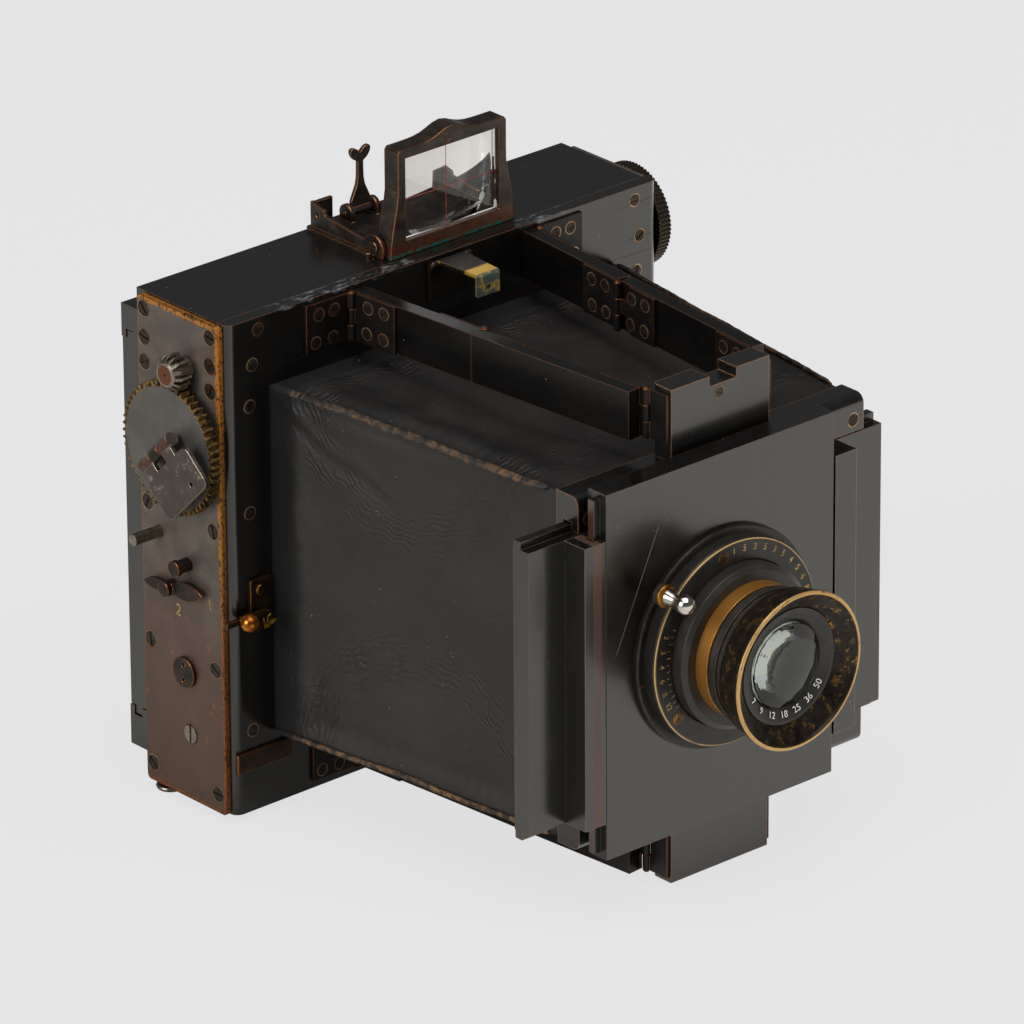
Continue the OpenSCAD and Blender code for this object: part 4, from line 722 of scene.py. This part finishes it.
def make_seams():
    """Sewn welts standing up along the four long edges of the bag, each two rows of turned-in leather."""
    bm = bmesh.new()
    for side in range(4):
        outward = (Vector((-1, 0, 1)), Vector((1, 0, 1)), Vector((1, 0, -1)),
                   Vector((-1, 0, -1)))[side].normalized()
        flat = Vector((outward.z, 0, -outward.x))
        rings = []
        for i in range(LENGTHWISE + 1):
            down = 0.012 + 0.955 * i / LENGTHWISE
            middle = bag_point(side, 1.0, down)
            wander = noise.noise(Vector((side * 3.7, down * 5.0, 0.4))) * 0.9
            end = min(1.0, i / 3, (LENGTHWISE - i) / 3)
            lump = 1 + 0.22 * noise.noise(Vector((side, down * 40, 2.0)))
            ring = []
            for k in range(ROUND_SEAM):
                a = 2 * math.pi * k / ROUND_SEAM
                furrow = 1 - 0.35 * math.exp(-((a - math.pi / 2) / 0.35) ** 2)
                reach = (0.35 + 0.65 * end) * lump * furrow
                spot = (flat * (1.25 * math.cos(a) * reach + wander)
                        + outward * (0.95 * math.sin(a) * reach + 0.15))
                ring.append(bm.verts.new(middle + spot * MM))
            rings.append(ring)
        join_rings(bm, rings)
        close_ends(bm, rings)
    squash_with_fold(piece_from(bm, "bellows_seams", "case", [seam_leather]))


def make_bellows():
    """The leather bag, open at both ends, with thickness."""
    bm = bmesh.new()
    rings = []
    for i in range(LENGTHWISE + 1):
        down = i / LENGTHWISE
        ring = [bm.verts.new(bag_point(side, -1 + 2 * k / ROUND_EACH, down))
                for side in range(4) for k in range(ROUND_EACH)]
        rings.append(ring)
    join_rings(bm, rings)
    piece = piece_from(bm, "bellows_leather", "case", [leather])
    thick = piece.modifiers.new("hide", "SOLIDIFY")
    thick.thickness = HIDE_THICK * MM
    thick.offset = -1
    with bpy.context.temp_override(object=piece, active_object=piece):
        bpy.ops.object.modifier_apply(modifier="hide")
    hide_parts("bellows")
    squash_with_fold(piece)


make_bellows()
make_seams()


def circle(bm, radius, height, place, spin, steps):
    """A ring of points round the axis that spin points along, at a height over place."""
    turns = (2 * math.pi * k / steps for k in range(steps))
    return [bm.verts.new(place + spin @ (Vector((radius * math.cos(a), radius * math.sin(a), height)) * MM))
            for a in turns]


def facing(direction):
    """Turn that carries +Z to the direction."""
    return Vector(direction).to_track_quat("Z", "Y").to_matrix()


def small_screws(name, body, spots, radius, ring=True, head=screw_black):
    """Countersunk screws with a slot, each (place, direction, turn), and the bright ring round each."""
    bm = bmesh.new()
    for place, direction, angle in spots:
        spin = facing(direction) @ Matrix.Rotation(math.radians(angle), 3, "Z")
        for side in (-1, 1):
            half_disc(bm, place, spin, radius * 0.86, side)
        if ring:
            screw_ring(bm, place, spin, radius * 0.86, radius * 1.06, 1)
    piece_from(bm, name, body, [head, copper_rim], smooth=False, outward=False)


def half_disc(bm, place, spin, radius, side, gap=0.12, steps=12):
    """One half of a slotted screw head, its flat side along the slot."""
    low, high = -0.15, 0.14
    arc = [(radius * math.cos(a), side * (gap * radius + (radius - gap * radius) * math.sin(a)))
           for a in (math.pi * k / steps for k in range(steps + 1))]
    rings = [[bm.verts.new(place + spin @ (Vector((x, y, z)) * MM)) for x, y in arc] for z in (low, high)]
    top = rings[1] if side > 0 else rings[1][::-1]
    bm.faces.new(top)
    for k in range(len(arc)):
        n = (k + 1) % len(arc)
        quad = (rings[0][k], rings[0][n], rings[1][n], rings[1][k])
        bm.faces.new(quad if side > 0 else quad[::-1])


def screw_ring(bm, place, spin, inner, outer, material=0):
    """The thin bright ring round a screw head."""
    profile = ((inner, 0.02), (inner, 0.07), (outer, 0.05), (outer, -0.05))
    join_rings(bm, [circle(bm, radius, height, place, spin, 24) for radius, height in profile], material)


def turned_fitting(name, outline, place, spin, body, material):
    """One fitting turned from an outline of (radius, height) pairs, as a piece of its own."""
    bm = bmesh.new()
    rings = [circle(bm, radius, height, place, spin, 32) for radius, height in outline]
    join_rings(bm, rings)
    for ring in (rings[0], rings[-1]):
        bm.faces.new(ring)
    piece_from(bm, name, body, [material])


# Hinges of the struts: heights of the bars, their lean, the three pins seen from above, and the leaf screws
BAR_Z = 155.35
LOW_BAR_Z = 2 * 83.0 - BAR_Z
LEAN = math.radians(4.939)
REAR_PIN = Vector((38.6, -1.2, 0))
KNEE = Vector((27.154, -50.022, 0))
FRONT_PIN = Vector((21.4, -116.6, 0))
HINGE_SCREW_R = 2.1
LEAF_SPOTS = ((6.8, 4.3), (6.2, -4.4), (13.6, 4.3), (13.2, -4.4))


def case_hinge_screws():
    """Screws of the leaves that hold the rear struts to the case."""
    spots = []
    for s in (-1, 1):
        for x, dz in ((45.4, 4.0), (51.6, 4.0), (46.0, -5.0), (53.0, -5.0)):
            for z in (BAR_Z, LOW_BAR_Z):
                spots.append((at(s * x, -1.0, z + dz), (0, -1, 0), 37 * len(spots)))
    small_screws("case_hinge_screws", "case", spots, HINGE_SCREW_R)


def strut_hinge_screws():
    """Screws of the leaves on the bars: on the outer faces at the rear, on the inner faces at the knees."""
    for side, s in (("left", -1), ("right", 1)):
        ahead = Vector((-s * math.sin(LEAN), -math.cos(LEAN), 0))
        outward = Vector((s * math.cos(LEAN), -math.sin(LEAN), 0))
        rear, knee, fore = (Vector((s * p.x, p.y, 0)) for p in (REAR_PIN, KNEE, FRONT_PIN))
        rows = (("rear", "rear_struts", rear - outward * 0.2, ahead, outward),
                ("knee_rear", "rear_struts", knee + outward * 0.2, -ahead, -outward),
                ("knee_front", "front_struts", knee + outward * 0.2, ahead, -outward),
                ("front", "front_struts", fore - outward * 0.2, -ahead, outward))
        for name, body, start, along_bar, face in rows:
            spots = []
            for run, dz in LEAF_SPOTS:
                spot = start + along_bar * run
                for z in (BAR_Z, LOW_BAR_Z):
                    spots.append((at(spot.x, spot.y, z + dz), face, 53 * len(spots)))
            small_screws(f"{side}_{name}_hinge_screws", f"{side}_{body}", spots, HINGE_SCREW_R)


def screw_rims():
    """The rubbed copper ring round each screw of the case front and of the end plates."""
    bm = bmesh.new()
    left = ((12, 161), (9.5, 150), (8.2, 136.5), (7.6, 101), (7.2, 27.6))
    right = ((7.9, 160.7), (5.8, 148.2), (7.2, 136.5), (7.2, 101), (7.2, 27.6))
    for s, places in ((-1, left), (1, right)):
        for inset, z in places:
            screw_ring(bm, at(s * (87.25 - inset), -0.05, z), facing((0, -1, 0)), 1.9, 2.3)
    for s, rear in ((-1, 2.3), (1, 5.05)):
        for y in (rear + 4, 37.6):
            for z in (6.2, 48.7, 95.5, 142.4, 150.7, 160.2):
                screw_ring(bm, at(s * 89.25, y, z), facing((s, 0, 0)), 2.6, 2.8)
    piece_from(bm, "screw_rims", "case", [copper_rim], smooth=False, outward=False)


case_hinge_screws()
strut_hinge_screws()
screw_rims()


# Lens: numbers and marks, brass screws, and the nickel knob of the focusing lever
BOARD_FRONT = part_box("lens_board")[0][1] / MM - FRONT / MM
SCALE_FACE = BOARD_FRONT - 7.0
NAME_FACE = BOARD_FRONT - 29.6


def on_lens(radius, degrees, y):
    """A place round the axis of the lens."""
    a = math.radians(degrees)
    return at(LENS_X + radius * math.cos(a), y, LENS_Z + radius * math.sin(a))


def numerals(name, body, words, size, material, thick=0.05):
    """Plain numbers, each (text, place, turn)."""
    bm = bmesh.new()
    for text, place, spin in words:
        curve = bpy.data.curves.new("numeral", "FONT")
        curve.body, curve.size, curve.align_x, curve.align_y = text, size, "CENTER", "CENTER"
        curve.extrude = thick
        holder = bpy.data.objects.new("numeral", curve)
        bpy.context.scene.collection.objects.link(holder)
        bpy.context.view_layer.update()
        mesh = bpy.data.meshes.new_from_object(holder.evaluated_get(bpy.context.evaluated_depsgraph_get()))
        mesh.transform(Matrix.Translation(place) @ (spin.to_4x4() @ Matrix.Scale(MM, 4)))
        bm.from_mesh(mesh)
        bpy.data.objects.remove(holder)
        bpy.data.meshes.remove(mesh)
        bpy.data.curves.remove(curve)
    piece_from(bm, name, body, [material], smooth=False, outward=False)


def upright(degrees=0.0, out=(0, -1, 0)):
    """Turn for text that faces out, with its head up, then rolled by degrees about the way it faces."""
    z = Vector(out)
    x = Vector((0, 0, 1)).cross(z).normalized()
    y = z.cross(x)
    base = Matrix((x, y, z)).transposed()
    return base @ Matrix.Rotation(math.radians(degrees), 3, "Z")


def lens_numbers():
    """Distances on the scale plate, stops on the front ring, and the two numbers of the selector."""
    words = []
    for k, text in enumerate(("2", "3", "4", "6", "8", "12")):
        a = 160 + 9 * k
        words.append((text, on_lens(30.4, a, SCALE_FACE - 0.02), upright(a + 90)))
    for k, text in enumerate(("1", "5", "2", "5", "3", "5", "4", "5", "6", "8")):
        a = 92 - 8.2 * k
        words.append((text, on_lens(30.4, a, SCALE_FACE - 0.02), upright(a - 90)))
    slope = Matrix.Rotation(math.radians(-20.9), 3, "X")
    numerals("scale_numbers", "lens_board", words, 2.9, gilt_paint)
    words = []
    for k, text in enumerate(("7", "9", "12", "18", "25", "36", "50")):
        a = 208 + 19 * k
        words.append((text, on_lens(15.8, a, NAME_FACE - 0.15), upright(a + 90) @ slope))
    numerals("stop_numbers", "lens_barrel", words, 3.0, white_paint, 0.06)
    plate = [("1", at(-89.3, 8.3, 70.0), upright(8, (-1, 0, 0))),
             ("2", at(-89.3, 23.7, 63.2), upright(-6, (-1, 0, 0)))]
    numerals("selector_numbers", "case", plate, 5.6, gilt_paint)


def strip(bm, start, end, width, thick, out):
    """A thin painted or inlaid strip from start to end, facing out."""
    run = (end - start).normalized()
    side = run.cross(Vector(out)).normalized() * width * MM / 2
    lift = Vector(out).normalized() * thick * MM
    corners = [start - side, start + side, end + side, end - side]
    low = [bm.verts.new(c - lift) for c in corners]
    top = [bm.verts.new(c + lift) for c in corners]
    bm.faces.new(top)
    bm.faces.new(low[::-1])
    join_rings(bm, [low, top])


def strips(name, body, runs, material):
    """Several strips as one piece."""
    bm = bmesh.new()
    for run in runs:
        strip(bm, *run)
    piece_from(bm, name, body, [material], smooth=False)


def lens_marks():
    """The divisions of the scale plate, and the red index on the flange."""
    runs = []
    for k in range(13):
        a = 155 + 4.6 * k
        inner = 27.4 if k % 2 else 26.9
        runs.append((on_lens(inner, a, SCALE_FACE), on_lens(28.4, a, SCALE_FACE), 0.22, 0.05, (0, -1, 0)))
    strips("scale_marks", "lens_board", runs, gilt_paint)
    flange_y = BOARD_FRONT - 2.05
    strips("index_mark", "lens_board", [(on_lens(33.6, 190, flange_y), on_lens(35.7, 190, flange_y), 0.5,
                                         0.08, (0, -1, 0))], red_mark)


def lens_fittings():
    """Screws of the scale plate, and the nut and knob of the focusing lever."""
    spots = [(on_lens(29.6, turn, SCALE_FACE - 0.05), (0, -1, 0), 55 * k)
             for k, turn in enumerate((99.8, 217, 338))]
    small_screws("scale_plate_screws", "lens_board", spots, 2.2, ring=False, head=screw_brass)
    spin = facing((0, -1, 0))
    foot = on_lens(40.3, 140.3, BOARD_FRONT - 8.7)
    turned_fitting("focus_lever_nut", [(3.2, 0), (3.6, 0.25), (3.7, 1.0), (3.5, 1.5), (2.4, 1.75)], foot,
                   spin, "focus_ring", old_brass)
    ball_r, ball_high = 3.08, 9.3
    arc = [0.5 + (math.pi - 0.56) * k / 14 for k in range(15)]
    ball = [(ball_r * math.sin(a), ball_high - ball_r * math.cos(a)) for a in arc]
    cone = [(2.7, 1.7), (2.6, 2.4), (1.9, 4.6), (1.35, 6.2)]
    turned_fitting("focus_lever_knob", cone + ball, foot, spin, "focus_ring", bright_nickel)


FINDER_LOW, FINDER_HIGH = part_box("finder_glass")
GLASS_FRONT = FINDER_LOW[1] - 0.05 * MM


def finder_lines():
    """Red cross lines on the finder glass."""
    (left, _, foot), (right, _, top) = FINDER_LOW, FINDER_HIGH
    mid = (left + right) / 2 - 1.0 * MM
    level = foot + 0.47 * (top - foot)
    inset = 0.8 * MM
    ends = ((mid, foot + inset, mid, top - inset), (left + inset, level, right - inset, level - 0.5 * MM))
    strips("finder_cross_lines", "finder",
           [(Vector((x, GLASS_FRONT, z)), Vector((x_end, GLASS_FRONT, z_end)), 0.2, 0.04, (0, -1, 0))
            for x, z, x_end, z_end in ends], red_thread)


PUTTY_STEPS = 46
PUTTY_ROUND = 7


def finder_putty():
    """The crumbling putty that beds the finder glass: down its left side, along its foot and up its right."""
    bm = bmesh.new()
    (left, _, foot), (right, _, top) = FINDER_LOW, FINDER_HIGH
    corners = [Vector((x, GLASS_FRONT, z)) for x, z in ((left, top), (left, foot), (right, foot),
                                                        (right, top))]
    for part, (a, b) in enumerate(zip(corners, corners[1:])):
        side = (b - a).normalized().cross(Vector((0, 1, 0)))
        rings = []
        for i in range(PUTTY_STEPS + 1):
            t = i / PUTTY_STEPS
            coarse = noise.noise(Vector((part * 9.1, t * 9, 1.0)))
            fine = noise.noise(Vector((part, t * 31, 5.0)))
            lump = 0.5 + coarse + 0.5 * fine
            share = (0.25 + 0.75 * t, 0.45 + 0.55 * t, 1.0 - 0.35 * t)[part]
            size = max(0.12, min(1.7, lump * share * 1.9)) * MM
            rings.append([bm.verts.new(a.lerp(b, t) + side * (size * math.cos(w) * 0.9)
                                       + Vector((0, -1, 0)) * (size * math.sin(w) * 0.6))
                          for w in (2 * math.pi * k / PUTTY_ROUND for k in range(PUTTY_ROUND))])
        join_rings(bm, rings)
        close_ends(bm, rings)
    piece_from(bm, "finder_putty", "finder", [glazing_putty])


lens_numbers()
lens_marks()
lens_fittings()
finder_lines()
finder_putty()
small_screws("frame_corner_screw", "front_standard", [(at(54.0, -127.2, 134.0), (0, -1, 0), 40),
                                                      (at(-54.0, -127.2, 134.0), (0, -1, 0), 10)], 2.3)
small_screws("block_screw", "front_standard", [(at(-0.4, -126.28, 159.0), (0, -1, 0), 95)], 1.7)


# Floor and light
STUD_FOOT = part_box("strap_studs")[0]
BLOCK_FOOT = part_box("bottom_block")[0]


def place_floor():
    """A pale table, tilted as much as the object leans forward on its two studs and its lower block."""
    block_foot = Vector((0, BLOCK_FOOT[1], BLOCK_FOOT[2]))
    stud_foot = Vector((0, STUD_FOOT[1] + 7 * MM, STUD_FOOT[2]))
    slope = math.atan2(stud_foot.z - block_foot.z, stud_foot.y - block_foot.y)
    mesh = bpy.data.meshes.new("table")
    half = 4.0
    mesh.from_pydata([(-half, -half, 0), (half, -half, 0), (half, half, 0), (-half, half, 0)], [],
                     [(0, 1, 2, 3)])
    table = bpy.data.objects.new("table", mesh)
    under = Matrix.Translation(stud_foot - Vector((0, 0, 0.05 * MM)))
    table.matrix_world = under @ Matrix.Rotation(slope, 4, "X")
    bpy.context.scene.collection.objects.link(table)
    material, tree = new_material("pale_paper")
    lit = add(tree, "BsdfDiffuse", {"Color": "#e9e7e3"})
    even = add(tree, "Emission", {"Color": "#e6e6e8", "Strength": 1.0})
    # What polished surfaces mirror: the table is bright towards the right front, falls off behind,
    # and is dark under the object. Lengths are in metres here
    place = add(tree, "TexCoord", out="Object")
    toward = add(tree, "VectorMath", {0: place, 1: (0.62, -0.78, 0)}, out="Value", operation="DOT_PRODUCT")
    open_table = add(tree, "ease", toward, -0.25, 0.35, 0.66, 1.08)
    away_x = add(tree, "minus", add(tree, "size", add(tree, "X", place)), 0.08)
    away_y = add(tree, "minus", add(tree, "size", add(tree, "plus", add(tree, "Y", place), 0.05)), 0.09)
    clear_of = add(tree, "ease", add(tree, "most", away_x, away_y), -0.02, 0.055, 0.2, 1.0)
    glow = add(tree, "times", open_table, clear_of)
    mirrored = add(tree, "Emission", {"Color": "#efebe4", "Strength": glow})
    ray = add(tree, "LightPath", out=None).outputs
    seen = add(tree, "MixShader", {0: add(tree, "times", ray["Is Camera Ray"], 0.91), 1: lit, 2: even})
    through = add(tree, "MixShader", {0: ray["Is Transmission Ray"], 1: seen, 2: even})
    mixed = add(tree, "MixShader", {0: ray["Is Glossy Ray"], 1: through, 2: mirrored})
    add(tree, "OutputMaterial", {"Surface": mixed}, out=None)
    mesh.materials.append(material)


def soft_light(name, spot, aim, size, power, mirrored=True):
    """A square lamp that points at a place; without mirrored, polished surfaces and glass don't show it."""
    lamp = bpy.data.lights.new(name, "AREA")
    lamp.size = size
    lamp.energy = power
    holder = bpy.data.objects.new(name, lamp)
    holder.location = spot
    holder.rotation_euler = (Vector(aim) - Vector(spot)).to_track_quat("-Z", "Y").to_euler()
    holder.visible_glossy = holder.visible_transmission = mirrored
    bpy.context.scene.collection.objects.link(holder)


place_floor()
soft_light("overhead", (-0.3, -0.5, 2.4), (0, -0.05, 0.08), 2.2, 42)
soft_light("front_right", (1.5, -1.75, 0.75), (0, -0.1, 0.08), 1.3, 34, mirrored=False)
soft_light("left_fill", (-2.3, 0.1, 1.0), (0, 0, 0.08), 1.4, 34)

world = bpy.data.worlds.new("studio")
bpy.context.scene.world = world
world.use_nodes = True
sky = world.node_tree
backdrop = sky.nodes["Background"]
backdrop.inputs["Color"].default_value = linear("#e6e6e8")
# The pale backdrop is for the eye and for what is seen through glass; polished tops mirror a dark studio
ray = add(sky, "LightPath", out=None).outputs
seen = add(sky, "most", ray["Is Camera Ray"], ray["Is Transmission Ray"])
sky.links.new(add(sky, "mix", seen, 0.1, 1.0), backdrop.inputs["Strength"])
bpy.context.scene.view_settings.view_transform = "Standard"

place_camera()
